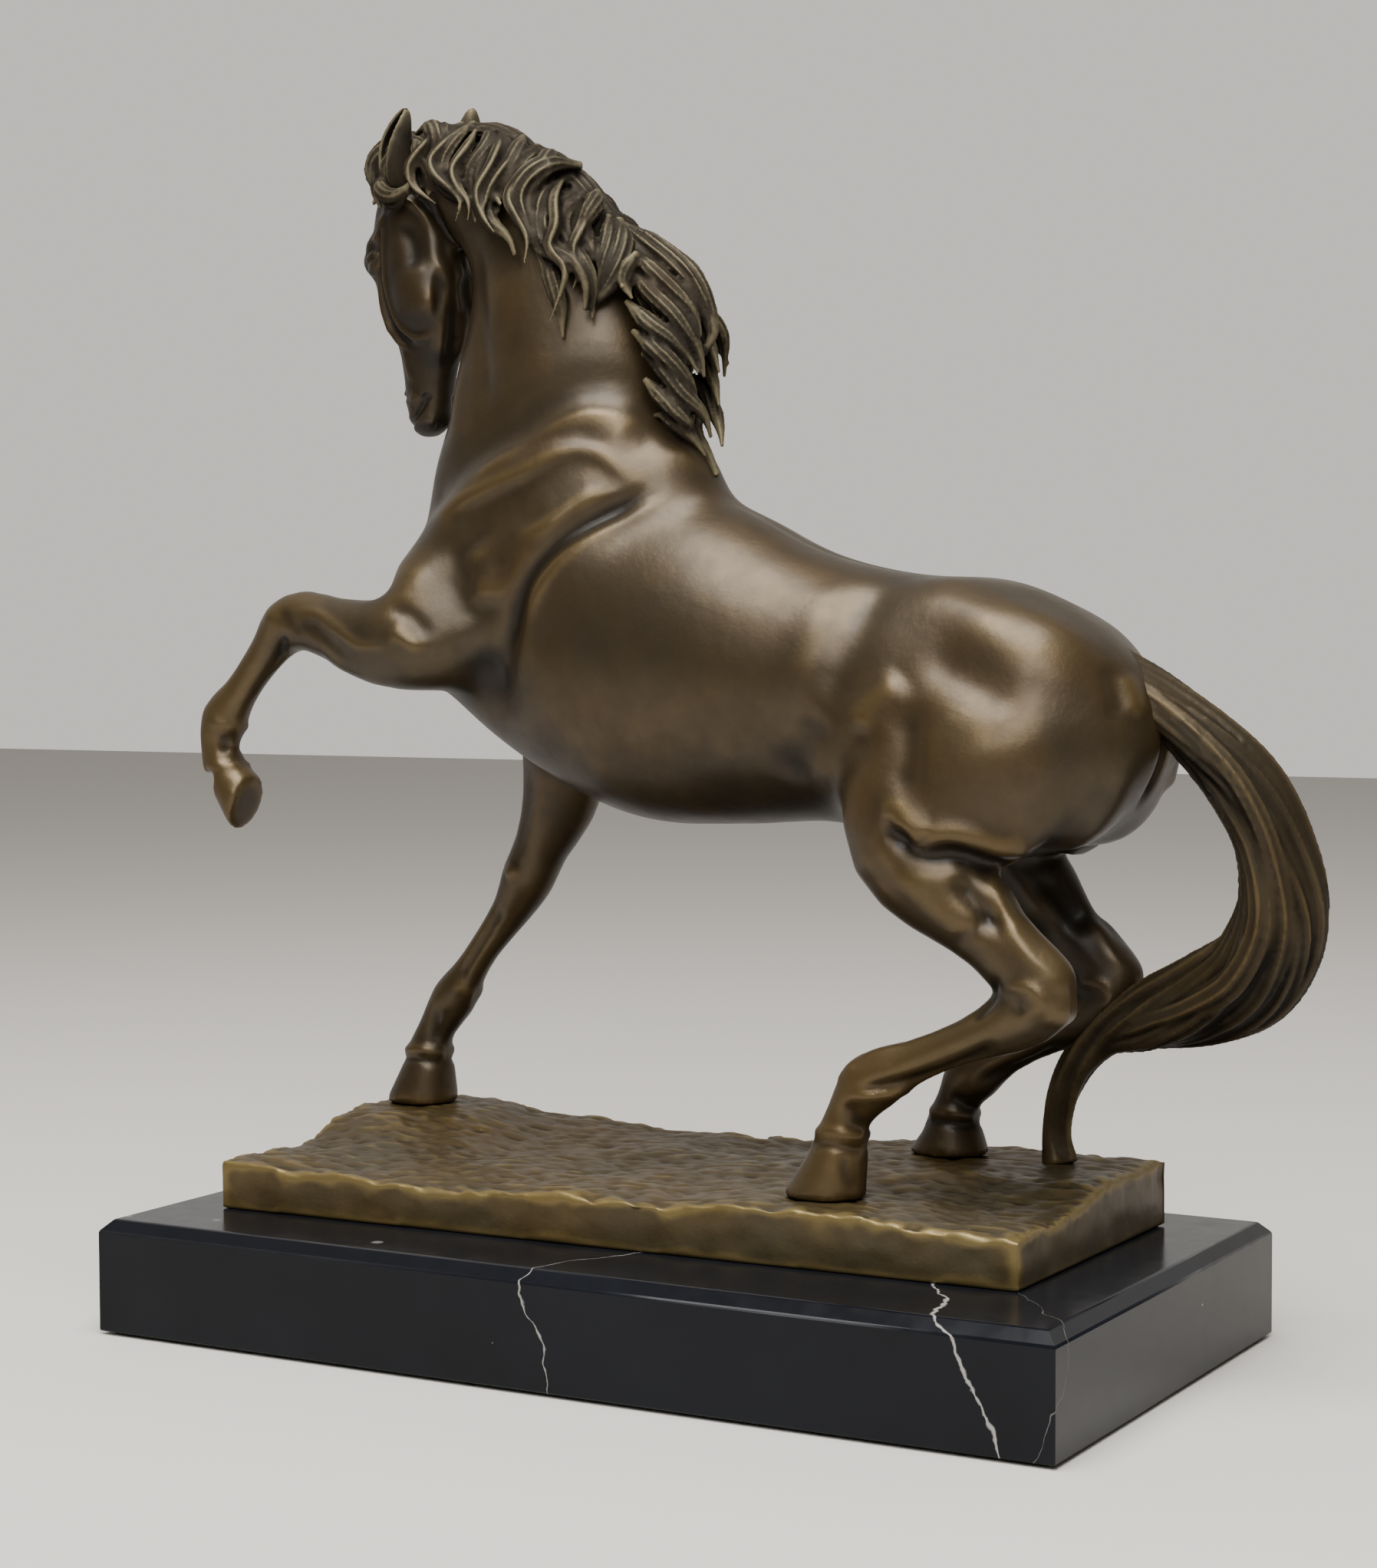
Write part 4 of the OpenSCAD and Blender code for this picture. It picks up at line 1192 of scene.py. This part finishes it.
FORELOCK = (
    Lock(((-86, 8, 282), (-92, 5, 283), (-98, 3, 280), (-101, 2, 275), (-99, 1, 270),
          (-95, 0, 266)), 2.6, 2.4),
    Lock(((-85, 11, 283), (-93, 10, 284), (-100, 8, 280), (-102, 7, 274), (-102, 5, 269),
          (-98, 3, 264)), 2.8, 2.4),
    Lock(((-85, 14, 283), (-93, 14, 282), (-99, 13, 277), (-101, 13, 271), (-100, 11, 265)), 2.8, 2.4),
    Lock(((-85, 17, 282), (-92, 18, 280), (-97, 18, 275), (-99, 17, 268)), 2.6, 2.2),
    Lock(((-86, 5, 281), (-92, 3, 280), (-96, 2, 276), (-96, 1, 271), (-94, 0, 267)), 2.4, 2.2),
    Lock(((-86, 9, 280), (-91, 8, 279), (-96, 7, 275), (-98, 6, 269)), 3.4, 3.0),
    Lock(((-85, 13, 280), (-91, 13, 279), (-96, 13, 274), (-98, 12, 268)), 3.4, 3.0),
    Lock(((-98, 2, 273), (-96, -1, 269), (-91, -3, 266), (-86, -4, 267), (-82, -4, 271)), 2.2, 2.0),
    Lock(((-97, 3, 270), (-93, 0, 265), (-88, -3, 264), (-84, -4, 267)), 1.6, 1.6, 1.6, 5),
    Lock(((-88, 7, 284), (-95, 5, 282), (-99, 4, 277), (-101, 3, 272), (-98, 2, 268)), 1.3, 1.5, 2.4, 4),
)


@dataclass
class Tail:
    """The long tail: strands that wind round a core in a wide sweep and end in a foot.

    Attributes:
        spine: stations down the tail's middle to its foot on the plinth, each as x, y, height,
            half depth and half width.
        strands: how many strands wind round the spine.
        turns: how far they wind, in turns.
        core: the core's share of the tail's section, which closes the gaps between strands.
        ridges: how many ridges run round a strand.
        groove: depth of the grooves between them, as a share of the radius.
        sides: points in a ring.
        voxel: size of the cast hair's cells in millimetres.
        piece: the finished casting.
    """

    spine: tuple = ((106, 6, 146, 4, 5), (114, 6, 140.5, 5, 6), (122, 6, 134.5, 6, 6.5),
                    (133, 7, 127, 7, 7.5),
                    (144.5, 8, 117.5, 8, 8.5), (154, 10.5, 106, 9, 9), (160, 14, 91, 9.5, 9.5),
                    (160.5, 18, 73, 12, 10.5), (152, 22, 58, 12.5, 11), (139, 25, 50, 11.5, 10),
                    (124, 29, 45, 10, 8.5), (111, 32, 40, 6.5, 6), (102, 33.5, 32, 5, 5),
                    (96, 35, 21, 4.2, 4.2), (94, 36, 11, 3.8, 3.8), (95, 36, 3.4, 4.6, 4.6))
    strands: int = 10
    turns: float = 0.6
    core: float = 0.74
    ridges: int = 8
    groove: float = 0.24
    sides: int = 34
    voxel: float = 0.6
    piece: bpy.types.Object | None = None

    def build(self) -> None:
        """Wind the strands, fuse them and register the casting."""
        rows = curve_through(self.spine, 2.0)
        path = rows[:, :3]
        ways = np.gradient(path, axis=0)
        ways /= np.linalg.norm(ways, axis=1)[:, None]
        across = np.cross(ways, np.array([0.0, 1.0, 0.0]))
        across /= np.linalg.norm(across, axis=1)[:, None]
        side = np.cross(across, ways)
        origin = PLACE.origin
        share = np.linspace(0, 1, len(rows))
        bm = bmesh.new()
        sweep(bm, (path + origin) * MM, across, lambda t: self.ring(rows, t, self.core, 1, 0.0))
        # each strand starts, swims in and out and thickens at its own beat, so no two are alike
        for number in range(self.strands):
            start = 2 * math.pi * number / self.strands + 0.35 * math.sin(2.3 * number)
            angle = start + 2 * math.pi * self.turns * share ** 1.3 + 0.4 * np.sin(8 * share + 2.2 * number)
            out = 0.6 + 0.14 * np.sin(9 * share + 1.9 * number)
            line = (path + across * (rows[:, 3] * out * np.cos(angle))[:, None]
                    + side * (rows[:, 4] * out * np.sin(angle))[:, None])
            ups = across * np.cos(angle)[:, None] + side * np.sin(angle)[:, None]
            thick = 0.41 + 0.11 * math.sin(3.1 * number)
            sweep(bm, (line + origin) * MM, ups,
                  lambda t, k=thick: self.ring(rows, t, k, self.ridges, self.groove))
        made = fused_all(bm, "tail_bronze", self.voxel)
        ease(made, 3, 0.45)
        note_cavity_and_shade(made.data, 6, 30, 0.55)
        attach(made, ROOT)
        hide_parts("tail", "tail_strand")
        self.piece = made
        LOG.info("tail: %d faces", len(made.data.polygons))

    def ring(self, rows: np.ndarray, t: float, share: float, ridges: int,
             groove: float) -> np.ndarray:
        """Give a grooved oval at a share of the tail.

        Args:
            rows: the spine's samples.
            t: the share of the way down the tail.
            share: the oval's share of the tail's section there.
            ridges: how many ridges run round it.
            groove: depth of the grooves as a share of the radius.

        Returns:
            The ring's points in metres, across and up.
        """
        half = rows[min(len(rows) - 1, int(round(t * (len(rows) - 1))))][3:5] * share * MM
        angle = np.linspace(0, 2 * math.pi, self.sides, endpoint=False)
        swell = 1 - groove * (0.5 + 0.5 * np.cos(ridges * angle + 5 * t))
        return np.stack([half[1] * np.cos(angle) * swell, half[0] * np.sin(angle) * swell], axis=1)

    def dress(self, finish: PatinatedBronze) -> None:
        """Give the tail its finish."""
        cover([self.piece], finish.build())


@dataclass
class Ears:
    """Two pricked ears, each a rolled leaf open to the front.

    Attributes:
        wall: thickness of the leaf in millimetres.
        depth: the roll's depth over its width.
        voxel: size of the skin's cells in millimetres.
        pieces: the finished ears.
    """

    wall: float = 1.1
    depth: float = 1.0
    voxel: float = 0.4
    pieces: list[bpy.types.Object] = field(default_factory=list)

    def ear(self, name: str, node: str, stations: Sequence[Sequence[float]],
            opening: Sequence[float], reach: float) -> None:
        """Roll one ear.

        Args:
            name: the piece's name.
            node: the CAD node that it stands for.
            stations: points up the ear's middle, in figure millimetres.
            opening: the way that the hollow looks.
            reach: the ear's greatest half width in millimetres.
        """
        line = curve_through(stations, 0.8)
        path = np.array([PLACE.world(p) for p in line])
        ups = np.tile(np.asarray(opening, float), (len(path), 1))

        def outline(t: float) -> np.ndarray:
            """Give the rolled leaf's section at a share of the ear."""
            full = reach * math.sin(math.pi * min(1.0, 0.14 + 0.86 * t)) ** 0.6 + 0.35
            open_to = math.radians(14 + 44 * float(smoothstep(0.0, 0.8, t)))
            arc = np.linspace(math.pi / 2 + open_to, 2.5 * math.pi - open_to, 17)
            wall = min(self.wall, full * 0.45)
            outer = np.stack([full * np.cos(arc), full * self.depth * np.sin(arc)], axis=1)
            inner = np.stack([(full - wall) * np.cos(arc),
                              (full * self.depth - wall) * np.sin(arc)], axis=1)
            return np.vstack([outer, inner[::-1]]) * MM
        bm = bmesh.new()
        sweep(bm, path, ups, outline)
        made = fused_all(bm, name, self.voxel)
        ease(made, 3, 0.4)
        note_cavity_and_shade(made.data, 8, 40, 0.6)
        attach(made, ROOT)
        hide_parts(node)
        self.pieces.append(made)
        LOG.info("%s: %d faces", name, len(made.data.polygons))

    def build(self) -> None:
        """Roll both ears."""
        self.ear("left_ear_bronze", "left_ear",
                 ((-88, 6, 265), (-91, 2, 272), (-91, -1, 281), (-87, -1, 291)),
                 (-0.6, -0.8, 0.1), 5.3)
        self.ear("right_ear_bronze", "right_ear",
                 ((-84, 19, 268), (-82, 20, 277), (-80, 20, 286), (-78, 19, 293)),
                 (-0.9, 0.3, 0.1), 4.2)

    def dress(self, finish: PatinatedBronze) -> None:
        """Give both ears their finish."""
        cover(self.pieces, finish.build())


# ---------------------------------------------------------------- plinth, marble and fixings

@dataclass
class Plinth:
    """The rough bronze ground that the horse stands on, modelled with a spatula.

    Attributes:
        voxel: size of its skin's cells in millimetres.
        dash: length of the spatula's dashes in millimetres.
        dent: their depth in millimetres.
        rim: how far the lip of the side wanders in millimetres.
        piece: the finished ground.
    """

    voxel: float = 1.0
    dash: float = 6.5
    dent: float = 0.7
    rim: float = 1.0
    piece: bpy.types.Object | None = None

    def build(self) -> None:
        """Remesh the CAD ground, dash its top and roughen its lip."""
        made = fused_all(cad_copy("plinth"), "plinth_bronze", self.voxel)
        ease(made, 2, 0.5)
        points, normals, _ = arrays(made.data)
        low, high = (np.array(c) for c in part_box("plinth"))
        # the crown is what looks up; the outer band is where the sides and their lip are
        crown = smoothstep(0.35, 0.8, normals[:, 2]) * (points[:, 2] > low[2] + 6 * MM)
        wall = smoothstep(0.5, 0.9, np.abs(normals[:, :2]).max(1))
        outer = (np.minimum(points[:, 0] - low[0], high[0] - points[:, 0]) < 4 * MM) | (
            np.minimum(points[:, 1] - low[1], high[1] - points[:, 1]) < 7 * MM)
        lip = smoothstep(low[2] + 7 * MM, low[2] + 12 * MM, points[:, 2]) * outer
        shift = np.zeros_like(points)
        for i in np.nonzero((crown > 0.01) | outer)[0]:
            x, y, z = points[i] / MM
            if crown[i] > 0.01:
                warp = 3 * noise.noise(Vector((x / 22, y / 22, 4)))
                dash = noise.noise(Vector((x / self.dash, (y + warp) / 2.6, 7)))
                dash += 0.6 * noise.noise(Vector((x / 4.1, (y + warp) / 1.8, 1)))
                broad = noise.noise(Vector((x / 17, y / 13, 2)))
                shift[i, 2] += crown[i] * (self.dent * (dash - 0.4 * abs(dash)) + 0.7 * broad)
            if outer[i]:
                run = x + 1.7 * y
                wave = noise.noise(Vector((run / 15, 0, 5))) + 0.5 * noise.noise(Vector((run / 5.5, 3, 5)))
                shift[i, 2] += lip[i] * self.rim * (wave - 0.1)
                hammered = noise.noise(Vector((x / 8, y / 8, z / 6)))
                push = wall[i] * (0.35 * hammered - 0.25) - 0.5 * lip[i] * max(0.0, wave)
                shift[i] += normals[i] * push
        points = points + shift * MM
        points[:, 0] = np.clip(points[:, 0], low[0], high[0])
        points[:, 1] = np.clip(points[:, 1], low[1], high[1])
        points[:, 2] = np.maximum(points[:, 2], low[2])
        set_points(made.data, points)
        note_cavity_and_shade(made.data, 5, 20, 0.5)
        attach(made, ROOT)
        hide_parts("plinth")
        self.piece = made
        LOG.info("plinth: %d faces", len(made.data.polygons))

    def dress(self, finish: PatinatedBronze) -> None:
        """Give the ground its finish."""
        cover([self.piece], finish.build())


@dataclass(frozen=True)
class PolishedMarble:
    """Black marble, sawn and polished, with a few white calcite veins and paler flecks.

    The polish gives the eye a dim clear mirror over a ground with next to no colour.

    Attributes:
        name: the material's name.
        ground: the stone's colour.
        cloud: its paler haze.
        calcite: the veins' colour.
        roughness: of the polish.
        veins: sheets of calcite that cut the block, each as the place along x in millimetres,
            its run along x per unit up and per unit across, half its width and how white it is.
    """

    name: str = "polished_black_marble"
    ground: str = "#0b0c0f"
    cloud: str = "#16181d"
    calcite: str = "#b9b6b0"
    roughness: float = 0.17
    # start, lean, drift, half width, whiteness
    veins: tuple[tuple[float, float, float, float, float], ...] = (
        (82, -0.45, -0.5, 0.75, 0.6), (36, -0.35, 0.5, 0.35, 0.5), (60, 0.4, -0.9, 0.2, 0.2),
        (-145, 0.15, 0.7, 0.5, 0.45), (200, 0.9, -0.35, 0.3, 0.3))

    def build(self) -> bpy.types.Material:
        """Make the material.

        Returns:
            A material with a Principled surface.
        """
        mat, tree = blank_material(self.name)
        place = add_node(tree, "ShaderNodeTexCoord").outputs["Object"]
        wander, ragged, haze, worn, fine = (
            add_node(tree, "ShaderNodeTexNoise", {"Scale": 1 / (size * MM), "Detail": detail},
                     {"Vector": place}).outputs["Fac"]
            for size, detail in ((16, 3), (2.2, 4), (30, 5), (7, 5), (1.4, 4)))
        spots = add_node(tree, "ShaderNodeTexVoronoi", {"feature": "F1", "Scale": 1 / (26 * MM)},
                         {"Vector": place}).outputs["Distance"]
        fleck = add_node(tree, "ShaderNodeMapRange", {"From Min": 0.075, "From Max": 0.045,
                                                      "To Min": 0.0, "To Max": 0.5}, {0: spots}).outputs[0]
        white = add_node(tree, "ShaderNodeMath", {"operation": "MULTIPLY"},
                         {0: fleck, 1: ragged}).outputs[0]
        for start, lean, drift, wide, strength in self.veins:
            across = add_node(tree, "ShaderNodeVectorMath",
                              {"operation": "DOT_PRODUCT", 1: (1.0, -drift, -lean)},
                              {0: place}).outputs["Value"]
            across = add_node(tree, "ShaderNodeMath", {"operation": "MULTIPLY_ADD", 1: -14 * MM},
                              {0: wander, 2: across}).outputs[0]
            gap = add_node(tree, "ShaderNodeMath", {"operation": "SUBTRACT", 1: start * MM}, {0: across})
            gap = add_node(tree, "ShaderNodeMath", {"operation": "ABSOLUTE"}, {0: gap.outputs[0]})
            width = add_node(tree, "ShaderNodeMath",
                             {"operation": "MULTIPLY_ADD", 1: 2.4 * wide * MM, 2: -0.5 * wide * MM},
                             {0: ragged})
            share = add_node(tree, "ShaderNodeMath", {"operation": "DIVIDE"},
                             {0: gap.outputs[0], 1: width.outputs[0]})
            vein = add_node(tree, "ShaderNodeMapRange",
                            {"From Min": 1.0, "From Max": 0.35, "To Min": 0.0, "To Max": strength},
                            {0: share.outputs[0]})
            white = add_node(tree, "ShaderNodeMath", {"operation": "MAXIMUM"},
                             {0: white, 1: vein.outputs[0]}).outputs[0]
        ground = add_node(tree, "ShaderNodeMix", {"data_type": "RGBA", 6: linear(self.ground),
                                                  7: linear(self.cloud)}, {0: haze}).outputs[2]
        colour = add_node(tree, "ShaderNodeMix", {"data_type": "RGBA", 7: linear(self.calcite)},
                          {0: white, 6: ground}).outputs[2]
        rough = add_node(tree, "ShaderNodeMapRange",
                         {"From Min": 0.3, "From Max": 0.75, "To Min": self.roughness - 0.04,
                          "To Max": self.roughness + 0.08}, {0: worn}).outputs[0]
        bump = add_node(tree, "ShaderNodeBump", {"Strength": 0.05, "Distance": 0.1 * MM},
                        {"Height": fine})
        surface = add_node(tree, "ShaderNodeBsdfPrincipled", {"Specular IOR Level": 0.14},
                           {"Base Color": colour, "Roughness": rough, "Normal": bump.outputs[0]})
        add_node(tree, "ShaderNodeOutputMaterial", links={"Surface": surface.outputs[0]})
        return mat


@dataclass(frozen=True)
class Baize:
    """Green wool felt glued under the marble: matt, with a short fuzzy nap.

    Attributes:
        name: the material's name.
        colour: the wool's colour.
        root: its darker colour between the fibres.
    """

    name: str = "green_felt"
    colour: str = "#23402f"
    root: str = "#1a3125"

    def build(self) -> bpy.types.Material:
        """Make the material.

        Returns:
            A material with a Principled surface.
        """
        mat, tree = blank_material(self.name)
        place = add_node(tree, "ShaderNodeTexCoord").outputs["Object"]
        # tufts of fibres at 0.9 mm, coarser than one fibre, which would not show
        nap = add_node(tree, "ShaderNodeTexNoise", {"Scale": 1 / (0.9 * MM), "Detail": 5},
                       {"Vector": place}).outputs["Fac"]
        share = add_node(tree, "ShaderNodeMapRange", {"From Min": 0.3, "From Max": 0.7},
                         {0: nap}).outputs[0]
        colour = add_node(tree, "ShaderNodeMix", {"data_type": "RGBA", 6: linear(self.root),
                                                  7: linear(self.colour)}, {0: share}).outputs[2]
        bump = add_node(tree, "ShaderNodeBump", {"Strength": 0.5, "Distance": 0.3 * MM},
                        {"Height": nap})
        surface = add_node(tree, "ShaderNodeBsdfPrincipled",
                           {"Roughness": 0.95, "Sheen Weight": 0.4, "Sheen Roughness": 0.5},
                           {"Base Color": colour, "Normal": bump.outputs[0]})
        add_node(tree, "ShaderNodeOutputMaterial", links={"Surface": surface.outputs[0]})
        return mat


@dataclass(frozen=True)
class ZincSteel:
    """Turned steel with bright zinc plating, dulled by handling.

    Attributes:
        name: the material's name.
        dull: the plating's colour where it has bloomed.
        bright: its colour elsewhere.
    """

    name: str = "zinc_plated_steel"
    dull: str = "#8e9196"
    bright: str = "#b4b6b8"

    def build(self) -> bpy.types.Material:
        """Make the material.

        Returns:
            A material with a Principled surface.
        """
        mat, tree = blank_material(self.name)
        place = add_node(tree, "ShaderNodeTexCoord").outputs["Object"]
        bloom = add_node(tree, "ShaderNodeTexNoise", {"Scale": 1 / (3 * MM), "Detail": 4},
                         {"Vector": place}).outputs["Fac"]
        share = add_node(tree, "ShaderNodeMapRange", {"From Min": 0.3, "From Max": 0.7},
                         {0: bloom}).outputs[0]
        colour = add_node(tree, "ShaderNodeMix", {"data_type": "RGBA", 6: linear(self.dull),
                                                  7: linear(self.bright)}, {0: share}).outputs[2]
        rough = add_node(tree, "ShaderNodeMapRange", {"To Min": 0.28, "To Max": 0.5},
                         {0: bloom}).outputs[0]
        surface = add_node(tree, "ShaderNodeBsdfPrincipled", {"Metallic": 1.0},
                           {"Base Color": colour, "Roughness": rough})
        add_node(tree, "ShaderNodeOutputMaterial", links={"Surface": surface.outputs[0]})
        return mat


@dataclass
class Base:
    """The marble block with its felt, and the fixings that hold the plinth down.

    Attributes:
        arris: how far the polisher's cloth rounds the marble's edges, in millimetres.
        shortest: the shortest edge that is one of the block's own, in millimetres.
        piece: the finished block.
    """

    arris: float = 0.45
    shortest: float = 40.0
    piece: bpy.types.Object | None = None

    def build(self) -> None:
        """Copy the marble from the CAD and round its edges a little."""
        bm = cad_copy("marble_base")
        bmesh.ops.dissolve_limit(bm, angle_limit=math.radians(1), verts=bm.verts, edges=bm.edges)
        sharp = [e for e in bm.edges if len(e.link_faces) == 2 and e.calc_length() > self.shortest * MM
                 and e.calc_face_angle(0) > math.radians(20)]
        bmesh.ops.bevel(bm, geom=sharp, offset=self.arris * MM, offset_type="OFFSET", segments=3,
                        profile=0.5, affect="EDGES", material=-1, clamp_overlap=True)
        bmesh.ops.triangulate(bm, faces=[f for f in bm.faces if len(f.verts) > 4])
        made = new_object("black_marble_base", mesh_from(bm, "black_marble_base"))
        # only the small faces of the rounded edges are shaded smooth
        for face in made.data.polygons:
            face.use_smooth = face.area < 400 * MM ** 2 and len(face.vertices) == 4
        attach(made, ROOT)
        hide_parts("marble_base")
        self.piece = made
        LOG.info("marble: %d faces", len(made.data.polygons))

    def dress(self) -> None:
        """Give the marble, felt and fixings their finishes."""
        cover([self.piece], PolishedMarble().build())
        felt, steel = Baize().build(), ZincSteel().build()
        for name, mat in (("base_felt", felt), ("fixing_nuts", steel), ("fixing_washers", steel),
                          ("fixing_studs", steel), ("foot_pins", steel)):
            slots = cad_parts[name].data.materials
            slots.clear()
            slots.append(mat)


# ---------------------------------------------------------------- studio

@dataclass
class Studio:
    """A pale floor and room, three soft lights and the camera.

    Attributes:
        paper: the floor's colour.
        wall: the room's colour.
        bright: the way in which the room is pale, behind the statuette; it darkens towards the
            camera's side.
        dark: strength of the room's light on the camera's side.
        pale: strength of its light behind the statuette.
        lamps: each light's name, place and aim in metres, side in metres and watts.
        angles: the camera's azimuth, elevation and roll in degrees.
        focal: its focal length in millimetres on a 36 mm sensor.
        stand: where it stands, in millimetres.
    """

    paper: str = "#cdc8c1"
    wall: str = "#e6e2dc"
    bright: tuple[float, float, float] = (-0.49, 0.85, 0.2)
    dark: float = 0.17
    pale: float = 0.95
    lamps: tuple = (("overhead", (0.1, -0.4, 1.25), (0, 0, 0.2), 0.9, 34),
                    ("window", (0.7, -1.1, 1.0), (0, 0, 0.18), 0.6, 8),
                    ("screen", (0.25, -1.15, 0.8), (-0.03, 0, 0.22), 0.6, 6))
    angles: tuple[float, float, float] = (29.584, 2.965, -0.218)
    focal: float = 70.045
    stand: tuple[float, float, float] = (405.634, -710.398, 192.04)

    def build(self) -> None:
        """Make the floor, the lights and the world."""
        bm = bmesh.new()
        bmesh.ops.create_grid(bm, x_segments=1, y_segments=1, size=3.0)
        floor = new_object("floor", mesh_from(bm, "floor"))
        mat, tree = blank_material("pale_paper")
        surface = add_node(tree, "ShaderNodeBsdfPrincipled",
                           {"Base Color": linear(self.paper), "Roughness": 0.8})
        add_node(tree, "ShaderNodeOutputMaterial", links={"Surface": surface.outputs[0]})
        floor.data.materials.append(mat)
        world = bpy.data.worlds.new("room")
        bpy.context.scene.world = world
        world.use_nodes = True
        tree = world.node_tree
        back = tree.nodes["Background"]
        back.inputs[0].default_value = linear(self.wall)
        way = add_node(tree, "ShaderNodeTexCoord").outputs["Object"]
        facing = add_node(tree, "ShaderNodeVectorMath",
                          {"operation": "DOT_PRODUCT", 1: self.bright}, {0: way}).outputs["Value"]
        strength = add_node(tree, "ShaderNodeMapRange",
                            {"From Min": -0.1, "From Max": 0.75, "To Min": self.dark,
                             "To Max": self.pale}, {0: facing}).outputs[0]
        tree.links.new(strength, back.inputs[1])
        for name, at, aim, size, watts in self.lamps:
            self.light(name, at, aim, size, watts)

    def light(self, name: str, at: Sequence[float], aim: Sequence[float], size: float,
              watts: float) -> None:
        """Hang a square soft light.

        Args:
            name: the light's name.
            at: where it hangs, in metres.
            aim: the point it faces.
            size: its side in metres.
            watts: its power.
        """
        lamp = bpy.data.lights.new(name, "AREA")
        lamp.size = size
        lamp.energy = watts
        hung = bpy.data.objects.new(name, lamp)
        hung.location = at
        hung.rotation_euler = (Vector(aim) - Vector(at)).to_track_quat("-Z", "Y").to_euler()
        bpy.context.scene.collection.objects.link(hung)

    def camera(self) -> None:
        """Set the camera at the height of the neck, to the rear of the near side."""
        azimuth, elevation, roll = (math.radians(a) for a in self.angles)
        back = Vector((math.sin(azimuth) * math.cos(elevation),
                       -math.cos(azimuth) * math.cos(elevation), math.sin(elevation)))
        right = Vector((math.cos(azimuth), math.sin(azimuth), 0))
        up = back.cross(right)
        turned_right = right * math.cos(roll) + up * math.sin(roll)
        turned_up = up * math.cos(roll) - right * math.sin(roll)
        lens = bpy.data.cameras.new("camera")
        lens.sensor_width = 36
        lens.lens = self.focal
        lens.clip_start = 0.01
        taken = bpy.data.objects.new("camera", lens)
        frame_axes = Matrix((turned_right, turned_up, back)).transposed().to_4x4()
        taken.matrix_world = Matrix.Translation(Vector(self.stand) * MM) @ frame_axes
        bpy.context.scene.collection.objects.link(taken)
        bpy.context.scene.camera = taken


def main() -> None:
    """Build the statuette piece by piece, then light it."""
    logging.basicConfig(level=logging.INFO, format="%(name)s: %(message)s")
    studio = Studio()
    studio.camera()
    horse = Horse()
    horse.build(BODY_MARKS, HEAD_MARKS)
    horse.dress(PatinatedBronze())
    dark = PatinatedBronze(name="dark_patinated_bronze", body="#332c22", cool="#2d2a25", recess_and_shade="#0d0b09",
                           rubbed="#7d7359", rub=0.5, hollow_and_shade_darkness=0.95, roughness=0.5, metal=0.35, coat=0.0,
                           gloss=0.12)
    mane = Mane(horse.surface)
    mane.build()
    mane.dress(dark)
    tail = Tail()
    tail.build()
    tail.dress(PatinatedBronze(name="tail_patinated_bronze", body="#3d3323", cool="#37322a",
                               recess_and_shade="#110e0a", rubbed="#857047", rub=0.26, hollow_and_shade_darkness=0.95,
                               roughness=0.46, metal=0.5, coat=0.08, gloss=0.2))
    ears = Ears()
    ears.build()
    ears.dress(dark)
    plinth = Plinth()
    plinth.build()
    plinth.dress(PatinatedBronze(name="plinth_patinated_bronze", body="#5a4a2c", cool="#4d4531",
                                 recess_and_shade="#221c13", rubbed="#a08a52", rub=0.32, hollow_and_shade_darkness=0.7, roughness=0.42))
    base = Base()
    base.build()
    base.dress()
    studio.build()


if __name__ == "__main__":
    main()
